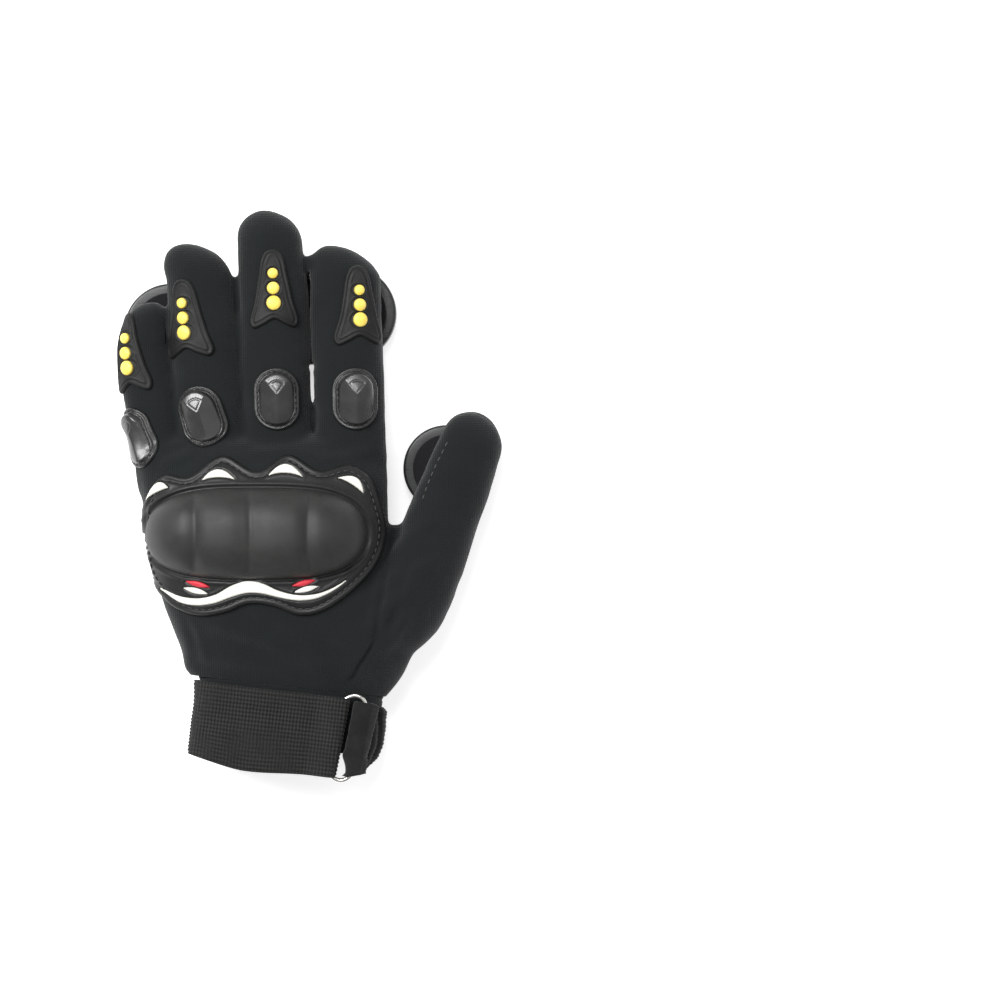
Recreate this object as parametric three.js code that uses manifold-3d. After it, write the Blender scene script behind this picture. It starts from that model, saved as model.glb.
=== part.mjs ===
// A slide glove for the left hand, lying palm down on its three pucks, in millimetres.
// The origin is the middle of the palm puck's sliding face. +Y points to the fingertips,
// +X to the thumb side and +Z to the back of the hand.
import * as THREE from 'three';
import { mergeVertices } from 'three/addons/utils/BufferGeometryUtils.js';
import Module from 'manifold-3d';

const wasm = await Module();
wasm.setup();

// Clearance and walls
const GAP = 0.3;
const WALL = 2;

// Hand: the length runs from the wrist seam to the crotch of the fingers
const HAND_LENGTH = 98;
const HAND_WIDTH = 98;
const HAND_DEPTH = 34;
const FINGER_LENGTH = 112.8;
const FINGER_WIDTH = 27;
const FINGER_DEPTH = 22;
const THUMB_LENGTH = 109.5;
const THUMB_WIDTH = 28;
const THUMB_DEPTH = 24;
const THUMB_SPREAD = 30.7;

// Pucks and the hook discs that hold them
const PALM_PUCK_RADIUS = 41.7;
const PALM_PUCK_THICKNESS = 14;
const PALM_PUCK_RIM = 7.5;
const PALM_PUCK_RECESS = 1.2;
const FINGER_PUCK_LENGTH = 110;
const FINGER_PUCK_WIDTH = 38;
const FINGER_PUCK_THICKNESS = 14;
const FINGER_PUCK_TURN = 5.6;
const THUMB_PUCK_RADIUS = 17.5;
const THUMB_PUCK_THICKNESS = 12;
const PUCK_ROUNDING = 2.5;
const HOOK_THICKNESS = 2.5;
const HOOK_MARGIN = 4;

// Knuckle guard
const GUARD_WIDTH = 97;
const GUARD_LENGTH = 64;
const GUARD_THICKNESS = 2.6;
const HUMP_WIDTH = 0.907 * GUARD_WIDTH;
const HUMP_LENGTH = 0.569 * GUARD_LENGTH;
const HUMP_HEIGHT = 11;
const HUMP_WALL = 2.2;
const HUMP_GROOVE = 1.4;
const INLAY_THICKNESS = 0.8;
const LEAF_LENGTH = 9;
const LEAF_WIDTH = 1.9;

// Finger patches, studs and knuckle pads
const PATCH_LENGTH = 31.6;
const PATCH_WIDTH = 19;
const PATCH_THICKNESS = 1.2;
const STUD_DIAMETER = 5;
const STUD_GROWTH = 0.8;
const STUD_HEIGHT = 1.6;
const STUD_PITCH = 5.9;
const PAD_LENGTH = 25;
const PAD_WIDTH = 17.6;
const PAD_THICKNESS = 1.6;
const PAD_CAP_LENGTH = 21;
const PAD_CAP_WIDTH = 13.4;
const PAD_CAP_HEIGHT = 4;
// The first stud's place on the patch, the cap's shoulder in its widths and its slope in its heights
const FIRST_STUD = 0.19;
const CAP_SHOULDER = 0.22;
const CAP_SLOPE = 0.62;

// Wrist
const CUFF_LENGTH = 35;
const CUFF_REACH = 24;
const CUFF_WIDTH = 75;
const CUFF_DEPTH = 30;
const WRIST_TURN = -6.4;
const STRAP_WIDTH = 32;
const STRAP_THICKNESS = 1.8;
const RING_LENGTH = 35;
const RING_WIDTH = 11;
const RING_WIRE = 1.8;

// How round the sections are: 2 is an ellipse, more is squarer
const ROUND_BACK = 2.3;
const ROUND_PALM = 3.2;
const HAND_SIDES = 20;
const FINGER_SIDES = 12;

// Heights that follow from the pucks
const PALM_LEVEL = PALM_PUCK_THICKNESS + HOOK_THICKNESS + 2 * GAP;
const FINGER_LEVEL = FINGER_PUCK_THICKNESS + HOOK_THICKNESS + 2 * GAP;
const THUMB_LEVEL = THUMB_PUCK_THICKNESS + HOOK_THICKNESS + 2 * GAP;
const SEAM_LEVEL = FINGER_LEVEL + 0.48 * FINGER_DEPTH;

// Hand sections, wrist first: y in hand lengths, left and right in hand widths,
// low and high in hand depths above the palm level, end: how far an offset moves the section
const HAND_SECTIONS = [
  { y: -0.612, left: -0.286, right: 0.474, low: -0.16, high: 0.72, turn: 1, end: 0 },
  { y: -0.52, left: -0.345, right: 0.565, low: -0.1, high: 0.82, turn: 0.7, end: 0 },
  { y: -0.39, left: -0.385, right: 0.615, low: -0.03, high: 0.93, turn: 0.2, end: 0 },
  { y: -0.22, left: -0.44, right: 0.52, low: 0, high: 1, turn: 0, end: 0 },
  { y: -0.05, left: -0.485, right: 0.5, low: 0, high: 1.03, turn: 0, end: 0 },
  { y: 0.14, left: -0.51, right: 0.493, low: 0, high: 1, turn: 0, end: 0 },
  { y: 0.27, left: -0.535, right: 0.49, low: 0, high: 0.87, turn: 0, end: 0 },
  { y: 0.35, left: -0.55, right: 0.485, low: 0.02, high: 0.74, turn: 0, end: 0.5 },
  { y: 0.39, left: -0.52, right: 0.46, low: 0.09, high: 0.62, turn: 0, end: 0.8 },
  { y: 0.408, left: -0.47, right: 0.41, low: 0.2, high: 0.48, turn: 0, end: 1 },
];

// Fingers: root in hand widths and lengths, heading in degrees from +Y towards +X, length and width
// in the middle finger's, lean: how far the tip leans over in the finger's own widths, patch and pad
// places in the finger's own lengths, slim: how wide its patch and pad are, in those of the others
const FINGERS = [
  {
    name: 'pinky', x: -0.429, y: 0.184, heading: -8, length: 0.671, width: 0.741, deep: 0.86, lean: 0.12,
    patch: 0.744, patchRoll: -40, pad: 0.295, padRoll: -50, padTurn: 12, slim: 0.76,
  },
  {
    name: 'ring', x: -0.21, y: 0.184, heading: -4.5, length: 0.886, width: 1, deep: 1, lean: -0.17,
    patch: 0.697, patchRoll: -33, pad: 0.3, padRoll: -14, padTurn: 12, slim: 1,
  },
  {
    name: 'middle', x: 0.046, y: 0.184, heading: -1.8, length: 1, width: 1, deep: 1, lean: -0.08,
    patch: 0.716, patchRoll: 4, pad: 0.325, padRoll: 4, padTurn: 0, slim: 1,
  },
  {
    name: 'index', x: 0.348, y: 0.184, heading: -1.5, length: 0.879, width: 1.022, deep: 1, lean: -0.24,
    patch: 0.746, patchRoll: 24, pad: 0.37, padRoll: 12, padTurn: -1, slim: 1,
  },
];

// Finger body: along in lengths of the straight stretch, wide and deep in finger sizes
const FINGER_BODY = [
  { along: 0, wide: 0.96, deep: 0.96 },
  { along: 0.3, wide: 1.02, deep: 1 },
  { along: 0.7, wide: 1, deep: 0.98 },
  { along: 1, wide: 0.95, deep: 0.92 },
];
const TIP_STEPS = 3;
const TIP_TURN = 0.46;
const THUMB_MIDDLE = 0.46;

// Thumb sections: along in thumb lengths, aside and wide in thumb widths, deep in thumb depths,
// lift: height of the underside in thumb depths above the thumb level
const THUMB_SECTIONS = [
  { along: -0.02, aside: 0, wide: 0.8, deep: 0.9, lift: 0.12 },
  { along: 0.16, aside: 0.27, wide: 1.36, deep: 1.2, lift: 0.06 },
  { along: 0.42, aside: 0.37, wide: 1.1, deep: 1.14, lift: 0.02 },
  { along: 0.62, aside: 0.23, wide: 1.04, deep: 1.02, lift: 0 },
  { along: 0.78, aside: 0.13, wide: 0.98, deep: 0.96, lift: 0 },
  { along: 0.88, aside: 0.06, wide: 0.94, deep: 0.9, lift: 0 },
];
const THUMB_ROOT = { x: 0.318, y: -0.465 };

// Guard outline, clockwise from the left, in guard widths and lengths from its middle
const GUARD_OUTLINE = [
  { x: -0.498, y: 0.125 }, { x: -0.486, y: 0.206 }, { x: -0.405, y: 0.375 }, { x: -0.306, y: 0.36 },
  { x: -0.165, y: 0.494 }, { x: -0.02, y: 0.394 }, { x: 0.103, y: 0.5 }, { x: 0.235, y: 0.4 },
  { x: 0.351, y: 0.4375 }, { x: 0.434, y: 0.3625 }, { x: 0.483, y: 0.1875 }, { x: 0.502, y: 0.02 },
  { x: 0.463, y: -0.181 }, { x: 0.36, y: -0.356 }, { x: 0.227, y: -0.481 }, { x: 0.145, y: -0.494 },
  { x: 0.04, y: -0.437 }, { x: -0.058, y: -0.425 }, { x: -0.145, y: -0.475 }, { x: -0.256, y: -0.5 },
  { x: -0.36, y: -0.45 }, { x: -0.425, y: -0.36 }, { x: -0.475, y: -0.25 }, { x: -0.5, y: -0.05 },
];
const GUARD_PLACE = { x: -0.012, y: 0.004 };
const HUMP_PLACE = { x: -0.029, y: 0.021 };
// Grooves in hump widths from its middle, flats and a groove's half width in hump half widths
const HUMP_GROOVES = [-0.288, -0.062, 0.217];
const HUMP_FLATS = [-0.35, 0.155];
const GROOVE_HALF = 0.05;

// Crescents: left end, crown, right end and hollow in guard widths and lengths from its middle
const CRESCENTS = [
  {
    name: 'pinky', left: { x: -0.474, y: 0.212 }, crown: { x: -0.43, y: 0.322 },
    right: { x: -0.381, y: 0.292 }, hollow: { x: -0.444, y: 0.252 },
  },
  {
    name: 'ring', left: { x: -0.247, y: 0.333 }, crown: { x: -0.181, y: 0.402 },
    right: { x: -0.11, y: 0.338 }, hollow: { x: -0.181, y: 0.352 },
  },
  {
    name: 'middle', left: { x: 0.024, y: 0.362 }, crown: { x: 0.096, y: 0.434 },
    right: { x: 0.165, y: 0.354 }, hollow: { x: 0.096, y: 0.379 },
  },
  {
    name: 'index', left: { x: 0.306, y: 0.35 }, crown: { x: 0.38, y: 0.352 },
    right: { x: 0.407, y: 0.256 }, hollow: { x: 0.357, y: 0.315 },
  },
];

// Wave: x in guard widths, its upper and lower edge in guard lengths
const WAVE = [
  { x: -0.41, upper: -0.322, lower: -0.33 },
  { x: -0.33, upper: -0.375, lower: -0.413 },
  { x: -0.264, upper: -0.387, lower: -0.431 },
  { x: -0.186, upper: -0.363, lower: -0.415 },
  { x: -0.124, upper: -0.31, lower: -0.381 },
  { x: -0.062, upper: -0.281, lower: -0.356 },
  { x: 0, upper: -0.294, lower: -0.359 },
  { x: 0.062, upper: -0.337, lower: -0.381 },
  { x: 0.153, upper: -0.369, lower: -0.403 },
  { x: 0.236, upper: -0.356, lower: -0.384 },
  { x: 0.298, upper: -0.316, lower: -0.334 },
  { x: 0.339, upper: -0.277, lower: -0.284 },
];

// Leaves: place in guard widths and lengths, turn in degrees
const LEAVES = [
  { name: 'red_left', x: -0.26, y: -0.3, turn: -14, colour: 'red' },
  { name: 'pale_left', x: -0.268, y: -0.341, turn: -14, colour: 'pale' },
  { name: 'red_right', x: 0.17, y: -0.294, turn: 14, colour: 'red' },
  { name: 'pale_right', x: 0.18, y: -0.333, turn: 14, colour: 'pale' },
];

// Patch outline, half of it, from the round top to the notch, in patch widths and lengths
const PATCH_OUTLINE = [
  { x: 0, y: 0.5 }, { x: 0.14, y: 0.47 }, { x: 0.23, y: 0.38 }, { x: 0.3, y: 0.16 },
  { x: 0.4, y: -0.16 }, { x: 0.5, y: -0.42 }, { x: 0.42, y: -0.5 }, { x: 0.2, y: -0.45 },
  { x: 0, y: -0.39 },
];

// Cuff sections in the wrist's own frame: y in cuff lengths from the seam, left and right in cuff
// widths, low and high in cuff depths from the seam level
const CUFF_SECTIONS = [
  { y: 0, left: -0.49, right: 0.5, low: -0.53, high: 0.47 },
  { y: -0.2, left: -0.476, right: 0.494, low: -0.53, high: 0.45 },
  { y: -0.6, left: -0.476, right: 0.484, low: -0.53, high: 0.42 },
  { y: -1, left: -0.476, right: 0.42, low: -0.53, high: 0.38 },
];
const WRIST_PLACE = { x: 0.094, y: -0.614 };
const RING_PLACE = 0.277;
const STRAP_END = 0.24;

// Lens shapes on the palm puck: middle, length, width and how far the ends sag, in puck radii
const PUCK_LENSES = [
  { y: 0, length: 1.62, width: 0.92, sag: 0 },
  { y: 0.57, length: 1.1, width: 0.3, sag: 0.14 },
  { y: -0.57, length: 1.16, width: 0.3, sag: -0.14 },
];

const FINGER_PUCK_PLACE = { x: -0.0347, y: 0.878 };
// The thumb's puck: along in thumb lengths, aside in thumb widths
const THUMB_PUCK_PLACE = { along: 0.76, aside: -0.08 };

const MATERIALS = {
  knit: { color: 0x25272b, roughness: 0.95, metalness: 0 },
  palm: { color: 0x2b2c2e, roughness: 0.85, metalness: 0 },
  webbing: { color: 0x34312f, roughness: 0.9, metalness: 0 },
  moulded: { color: 0x2c2d2f, roughness: 0.55, metalness: 0 },
  hump: { color: 0x333435, roughness: 0.6, metalness: 0 },
  gloss: { color: 0x3a3b3c, roughness: 0.2, metalness: 0 },
  puck: { color: 0x3a3c3f, roughness: 0.5, metalness: 0 },
  hook: { color: 0x1d1e20, roughness: 1, metalness: 0 },
  pale: { color: 0xf6f5ee, roughness: 0.5, metalness: 0 },
  red: { color: 0xc82834, roughness: 0.5, metalness: 0 },
  yellow: { color: 0xf6dc55, roughness: 0.4, metalness: 0 },
  metal: { color: 0xc9c6bf, roughness: 0.25, metalness: 1 },
};

const glove = new THREE.Group();
glove.name = 'slide_glove';

// A closed geometry as a solid that can be joined and cut
function solidOf(geometry) {
  const bare = geometry.clone();
  bare.deleteAttribute('normal');
  bare.deleteAttribute('uv');
  const merged = mergeVertices(bare, 1e-4);
  return new wasm.Manifold(new wasm.Mesh({
    numProp: 3,
    vertProperties: new Float32Array(merged.attributes.position.array),
    triVerts: new Uint32Array(merged.index.array),
  }));
}

// A solid as a named mesh of the glove
function addPiece(name, solid, material) {
  const mesh = solid.getMesh();
  const geometry = new THREE.BufferGeometry();
  geometry.setAttribute('position', new THREE.BufferAttribute(new Float32Array(mesh.vertProperties), 3));
  geometry.setIndex(new THREE.BufferAttribute(new Uint32Array(mesh.triVerts), 1));
  const faceted = geometry.toNonIndexed();
  faceted.computeVertexNormals();
  const piece = new THREE.Mesh(faceted, new THREE.MeshStandardMaterial(MATERIALS[material]));
  piece.name = name;
  glove.add(piece);
}

function joined(solids) {
  return solids.reduce((all, one) => all.add(one));
}

// A closed body through rings of points, all with the same number of points
function loft(rings) {
  const sides = rings[0].length;
  const positions = rings.flat().flatMap((point) => [point.x, point.y, point.z]);
  const faces = [];
  for (let ring = 0; ring < rings.length - 1; ring += 1) {
    for (let side = 0; side < sides; side += 1) {
      const next = (side + 1) % sides;
      const a = ring * sides + side;
      const b = ring * sides + next;
      faces.push(a, b, b + sides, a, b + sides, a + sides);
    }
  }
  const addCap = (start, turned) => {
    const middle = positions.length / 3;
    const sum = new THREE.Vector3();
    rings[start / sides].forEach((point) => sum.addScaledVector(point, 1 / sides));
    positions.push(sum.x, sum.y, sum.z);
    for (let side = 0; side < sides; side += 1) {
      const a = start + side;
      const b = start + ((side + 1) % sides);
      faces.push(middle, turned ? b : a, turned ? a : b);
    }
  };
  addCap(0, true);
  addCap((rings.length - 1) * sides, false);
  const geometry = new THREE.BufferGeometry();
  geometry.setAttribute('position', new THREE.Float32BufferAttribute(positions, 3));
  geometry.setIndex(faces);
  return solidOf(geometry);
}

// One section: a rounded form across a direction, with its own height above and below the centre
function sectionRing(centre, across, halfWidth, rise, drop, sides) {
  const ring = [];
  for (let step = 0; step < sides; step += 1) {
    const angle = -(step / sides) * 2 * Math.PI;
    const power = 2 / (Math.sin(angle) > 0 ? ROUND_BACK : ROUND_PALM);
    const side = Math.sign(Math.cos(angle)) * Math.abs(Math.cos(angle)) ** power * halfWidth;
    const level = Math.sign(Math.sin(angle)) * Math.abs(Math.sin(angle)) ** power;
    const height = level * (level > 0 ? rise : drop);
    ring.push(centre.clone().addScaledVector(across, side).add(new THREE.Vector3(0, 0, height)));
  }
  return ring;
}

function acrossAt(degrees) {
  const angle = THREE.MathUtils.degToRad(degrees);
  return new THREE.Vector3(Math.cos(angle), Math.sin(angle), 0);
}

// The hand without fingers, grown by an outset, or shrunk and open at the wrist
function handForm(outset) {
  const rings = HAND_SECTIONS.map((row, index) => {
    const past = index === 0 && outset < 0 ? WALL : 0;
    const centre = new THREE.Vector3(
      ((row.left + row.right) / 2) * HAND_WIDTH,
      row.y * HAND_LENGTH + row.end * outset - past,
      SEAM_LEVEL,
    );
    const halfWidth = ((row.right - row.left) / 2) * HAND_WIDTH + outset;
    const rise = PALM_LEVEL + row.high * HAND_DEPTH - SEAM_LEVEL + outset;
    const drop = SEAM_LEVEL - PALM_LEVEL - row.low * HAND_DEPTH + outset;
    return sectionRing(centre, acrossAt(row.turn * WRIST_TURN), halfWidth, rise, drop, HAND_SIDES);
  });
  return loft(rings);
}

function fingerRoot(finger) {
  return new THREE.Vector3(finger.x * HAND_WIDTH, finger.y * HAND_LENGTH, SEAM_LEVEL);
}

// The rest of a finger or thumb past its straight body: sections that close in a round tip
function roundTip(last, length, lean) {
  const full = Math.PI * TIP_TURN;
  const rows = [];
  for (let step = 1; step <= TIP_STEPS; step += 1) {
    const angle = (step / TIP_STEPS) * full;
    const share = Math.sin(angle) / Math.sin(full);
    rows.push({
      along: last.along + length * share,
      aside: last.aside + lean * share,
      half: last.half * Math.cos(angle),
      rise: last.rise * Math.cos(angle),
      drop: last.drop * Math.cos(angle),
    });
  }
  return rows;
}

// A body through rows along one direction: each row's place aside, half width, rise and drop
function limbForm(root, degrees, rows) {
  const across = acrossAt(degrees);
  const forward = acrossAt(degrees + 90);
  const rings = rows.map((row) => {
    const centre = root.clone().addScaledVector(forward, row.along).addScaledVector(across, row.aside);
    centre.z += row.level || 0;
    return sectionRing(centre, across, row.half, row.rise, row.drop, FINGER_SIDES);
  });
  return loft(rings);
}

function fingerForm(finger, outset) {
  const length = finger.length * FINGER_LENGTH;
  const width = finger.width * FINGER_WIDTH;
  const tip = width / 2;
  const underside = SEAM_LEVEL - FINGER_LEVEL;
  const topside = finger.deep * FINGER_DEPTH - underside;
  const body = FINGER_BODY.map((row) => ({
    along: row.along * (length - tip),
    aside: 0,
    half: (width / 2) * row.wide + outset,
    rise: topside * row.deep + outset,
    drop: underside * row.deep + outset,
  }));
  const rest = roundTip(body[body.length - 1], tip + outset, finger.lean * width);
  return limbForm(fingerRoot(finger), -finger.heading, [...body, ...rest]);
}

const thumbRoot = new THREE.Vector3(THUMB_ROOT.x * HAND_WIDTH, THUMB_ROOT.y * HAND_LENGTH, 0);

function thumbPoint(along, aside) {
  return thumbRoot.clone()
    .addScaledVector(acrossAt(90 - THUMB_SPREAD), along)
    .addScaledVector(acrossAt(-THUMB_SPREAD), aside);
}

function thumbForm(outset) {
  const body = THUMB_SECTIONS.map((row) => {
    const low = THUMB_LEVEL + row.lift * THUMB_DEPTH;
    const depth = row.deep * THUMB_DEPTH;
    return {
      along: row.along * THUMB_LENGTH,
      aside: row.aside * THUMB_WIDTH,
      level: low + THUMB_MIDDLE * depth,
      half: (THUMB_WIDTH / 2) * row.wide + outset,
      rise: (1 - THUMB_MIDDLE) * depth + outset,
      drop: THUMB_MIDDLE * depth + outset,
    };
  });
  const last = body[body.length - 1];
  const lean = -last.aside;
  const rest = roundTip(last, THUMB_LENGTH - last.along + outset, lean);
  const tip = rest.map((row) => ({ ...row, level: last.level }));
  return limbForm(thumbRoot, -THUMB_SPREAD, [...body, ...tip]);
}

function gloveForm(outset) {
  const fingers = FINGERS.map((finger) => fingerForm(finger, outset));
  return joined([handForm(outset), thumbForm(outset), ...fingers]);
}

// A box that reaches far past the glove on one side of a level
function slab(low, high) {
  const reach = 4 * (HAND_LENGTH + HAND_WIDTH);
  const box = new THREE.BoxGeometry(reach, reach, high - low);
  box.translate(0, 0, (low + high) / 2);
  return solidOf(box);
}

// An outline in the XY plane pushed along +Z between two levels
function prism(shape, low, high, curveSteps = 6) {
  const geometry = new THREE.ExtrudeGeometry(shape, {
    depth: high - low,
    bevelEnabled: false,
    curveSegments: curveSteps,
  });
  geometry.translate(0, 0, low);
  return geometry;
}

// A sheet of even thickness that follows a form inside an outline's prism
function overlay(prismGeometry, formAt, lift, thickness) {
  return solidOf(prismGeometry).intersect(formAt(lift + thickness)).subtract(formAt(lift));
}

function stadium(length, width) {
  const radius = Math.min(length, width) / 2;
  const straight = Math.max(length, width) / 2 - radius;
  const shape = new THREE.Shape();
  shape.absarc(0, straight, radius, 0, Math.PI, false);
  shape.absarc(0, -straight, radius, Math.PI, 2 * Math.PI, false);
  shape.closePath();
  return shape;
}

function closedSpline(points, steps) {
  const curve = new THREE.CatmullRomCurve3(
    points.map((point) => new THREE.Vector3(point.x, point.y, 0)),
    true,
    'centripetal',
  );
  const around = curve.getPoints(steps).slice(0, -1);
  return new THREE.Shape(around.map((point) => new THREE.Vector2(point.x, point.y)));
}

// Fabric panels: the hollow form, parted at the seam level
function addPanels() {
  const shell = gloveForm(0).subtract(gloveForm(-WALL));
  const far = 4 * HAND_DEPTH;
  addPiece('back_panel', shell.intersect(slab(SEAM_LEVEL + GAP / 2, SEAM_LEVEL + far)), 'knit');
  addPiece('palm_panel', shell.intersect(slab(SEAM_LEVEL - far, SEAM_LEVEL - GAP / 2)), 'palm');
}

// The wrist's own frame: y runs along the forearm from the seam, turned a little to the hand
const wristMatrix = new THREE.Matrix4()
  .makeTranslation(WRIST_PLACE.x * HAND_WIDTH, WRIST_PLACE.y * HAND_LENGTH, SEAM_LEVEL)
  .multiply(new THREE.Matrix4().makeRotationZ(THREE.MathUtils.degToRad(WRIST_TURN)));

function wristSolid(geometry) {
  return solidOf(geometry.applyMatrix4(wristMatrix));
}

// The cuff's form, from one end to the other, grown by an outset; past: how far it runs past its ends
function cuffForm(outset, past) {
  const last = CUFF_SECTIONS.length - 1;
  const rings = CUFF_SECTIONS.map((row, index) => {
    const end = (index === 0 ? past : 0) - (index === last ? past : 0);
    const centre = new THREE.Vector3(
      ((row.left + row.right) / 2) * CUFF_WIDTH,
      row.y * CUFF_LENGTH - GAP + end,
      0,
    );
    const ring = sectionRing(
      centre,
      new THREE.Vector3(1, 0, 0),
      ((row.right - row.left) / 2) * CUFF_WIDTH + outset,
      row.high * CUFF_DEPTH + outset,
      -row.low * CUFF_DEPTH + outset,
      HAND_SIDES,
    );
    return ring.map((point) => point.applyMatrix4(wristMatrix));
  });
  return loft(rings.reverse());
}

function wristBox(x1, x2, y1, y2, z1, z2) {
  const box = new THREE.BoxGeometry(x2 - x1, y2 - y1, z2 - z1);
  box.translate((x1 + x2) / 2, (y1 + y2) / 2, (z1 + z2) / 2);
  return wristSolid(box);
}

// A short tube along the wrist's y, for a fold of fabric round the ring's wire
function wristTube(x, y1, y2, z, radius, hole) {
  const ring = new THREE.LatheGeometry([
    new THREE.Vector2(hole, y1),
    new THREE.Vector2(radius, y1),
    new THREE.Vector2(radius, y2),
    new THREE.Vector2(hole, y2),
    new THREE.Vector2(hole, y1),
  ], 12);
  ring.translate(x, 0, z);
  return wristSolid(ring);
}

// A solid rod along the wrist's y, to clear the wire's way
function wristRod(x, y1, y2, z, radius) {
  const rod = new THREE.CylinderGeometry(radius, radius, y2 - y1, 12);
  rod.translate(x, (y1 + y2) / 2, z);
  return wristSolid(rod);
}

const RING_X = RING_PLACE * CUFF_WIDTH;
const RING_Y = -CUFF_LENGTH / 2 - GAP;
const RING_SPAN = RING_WIDTH - RING_WIRE;
const LOOP_HOLE = RING_WIRE / 2 + GAP;
const LOOP_RADIUS = LOOP_HOLE + STRAP_THICKNESS;
const LOOP_REACH = (RING_LENGTH - RING_WIDTH) / 2;

// Height of the ring's wire above the seam level: the strap's loop rests on the cuff
function ringLevel() {
  const probe = wristBox(RING_X - 1, RING_X + RING_SPAN + 1, -CUFF_LENGTH, 0, 0, 2 * CUFF_DEPTH);
  const top = cuffForm(GAP, 0).intersect(probe).boundingBox().max[2];
  return top - SEAM_LEVEL + LOOP_RADIUS;
}

function addWrist() {
  const level = ringLevel();
  const far = 2 * CUFF_WIDTH;
  const strapTop = -(CUFF_LENGTH - STRAP_WIDTH) / 2 - GAP;
  const strapLow = strapTop - STRAP_WIDTH;
  const tube = cuffForm(0, 0).subtract(cuffForm(-WALL, WALL));
  addPiece('wrist_cuff', tube.intersect(wristBox(-far, far, -CUFF_REACH, far, -far, far)), 'knit');

  const skin = cuffForm(GAP + STRAP_THICKNESS, WALL).subtract(cuffForm(GAP, 2 * WALL));
  const hole = wristRod(RING_X, strapLow - WALL, strapTop + WALL, level, LOOP_HOLE);
  const loopLow = RING_Y - LOOP_REACH;
  const loopTop = RING_Y + LOOP_REACH;
  const strapLoop = wristTube(RING_X, loopLow, loopTop, level, LOOP_RADIUS, LOOP_HOLE);
  const onBack = wristBox(-far, RING_X, strapLow, strapTop, 0, far);
  const onPalm = wristBox(-far, STRAP_END * CUFF_WIDTH, strapLow, strapTop, -far, 0);
  const band = skin.intersect(onBack.add(onPalm));
  addPiece('wrist_strap', band.add(strapLoop).subtract(cuffForm(GAP, 2 * WALL)).subtract(hole), 'webbing');

  const tabX = RING_X + RING_SPAN;
  const tabLoop = wristTube(tabX, loopLow, loopTop, level, LOOP_RADIUS, LOOP_HOLE);
  const tabHole = wristRod(tabX, strapLow - WALL, strapTop + WALL, level, LOOP_HOLE);
  const tabFlat = skin.intersect(wristBox(tabX, far, strapLow, strapTop, -0.1 * CUFF_DEPTH, far));
  const tabFold = wristBox(tabX, tabX + LOOP_RADIUS, loopLow, loopTop, 0, level);
  const tab = tabFlat.add(tabLoop).add(tabFold);
  addPiece('ring_tab', tab.subtract(cuffForm(GAP, 2 * WALL)).subtract(tabHole), 'knit');

  const radius = RING_SPAN / 2;
  const straight = (RING_LENGTH - RING_WIDTH) / 2;
  const at = (x, y) => new THREE.Vector3(x, y, 0);
  const points = [];
  const turns = 6;
  for (let step = 0; step <= turns; step += 1) {
    const angle = (step / turns) * Math.PI;
    points.push(at(radius * Math.cos(angle), straight + radius * Math.sin(angle)));
  }
  for (let step = 0; step <= turns; step += 1) {
    const angle = Math.PI + (step / turns) * Math.PI;
    points.push(at(radius * Math.cos(angle), -straight + radius * Math.sin(angle)));
  }
  addPiece('oval_ring', ringSolid(points, level), 'metal');
}

// A wire ring swept round a flat loop of points
function ringSolid(points, level) {
  const sides = 6;
  const count = points.length;
  const positions = [];
  const faces = [];
  points.forEach((point, index) => {
    const before = points[(index + count - 1) % count];
    const after = points[(index + 1) % count];
    const forward = after.clone().sub(before).normalize();
    const outward = new THREE.Vector3(forward.y, -forward.x, 0);
    for (let side = 0; side < sides; side += 1) {
      const angle = (side / sides) * 2 * Math.PI;
      const place = point.clone()
        .addScaledVector(outward, Math.cos(angle) * (RING_WIRE / 2))
        .add(new THREE.Vector3(0, 0, Math.sin(angle) * (RING_WIRE / 2)));
      positions.push(place.x, place.y, place.z);
    }
  });
  for (let index = 0; index < count; index += 1) {
    for (let side = 0; side < sides; side += 1) {
      const a = index * sides + side;
      const b = index * sides + ((side + 1) % sides);
      const c = ((index + 1) % count) * sides + ((side + 1) % sides);
      const d = ((index + 1) % count) * sides + side;
      faces.push(a, c, b, a, d, c);
    }
  }
  const geometry = new THREE.BufferGeometry();
  geometry.setAttribute('position', new THREE.Float32BufferAttribute(positions, 3));
  geometry.setIndex(faces);
  geometry.translate(RING_X + RING_SPAN / 2, RING_Y, level);
  return wristSolid(geometry);
}

// Knuckle guard
function guardPoint(x, y) {
  return new THREE.Vector2(
    GUARD_PLACE.x * HAND_WIDTH + x * GUARD_WIDTH,
    GUARD_PLACE.y * HAND_LENGTH + y * GUARD_LENGTH,
  );
}

const GUARD_LIFT = GAP;
const INLAY_LIFT = GUARD_LIFT + GUARD_THICKNESS + GAP;
const GUARD_TOP = SEAM_LEVEL + 4 * HAND_DEPTH;

function guardInlay(name, shape, material, curveSteps) {
  const column = prism(shape, SEAM_LEVEL, GUARD_TOP, curveSteps);
  addPiece(name, overlay(column, gloveForm, INLAY_LIFT, INLAY_THICKNESS), material);
}

function crescentShape(row) {
  const shape = new THREE.Shape();
  const start = guardPoint(row.left.x, row.left.y);
  const crown = guardPoint(row.crown.x, row.crown.y);
  const end = guardPoint(row.right.x, row.right.y);
  const hollow = guardPoint(row.hollow.x, row.hollow.y);
  const control = (through) => new THREE.Vector2(
    2 * through.x - (start.x + end.x) / 2,
    2 * through.y - (start.y + end.y) / 2,
  );
  shape.moveTo(start.x, start.y);
  shape.quadraticCurveTo(control(crown).x, control(crown).y, end.x, end.y);
  shape.quadraticCurveTo(control(hollow).x, control(hollow).y, start.x, start.y);
  return shape;
}

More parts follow.
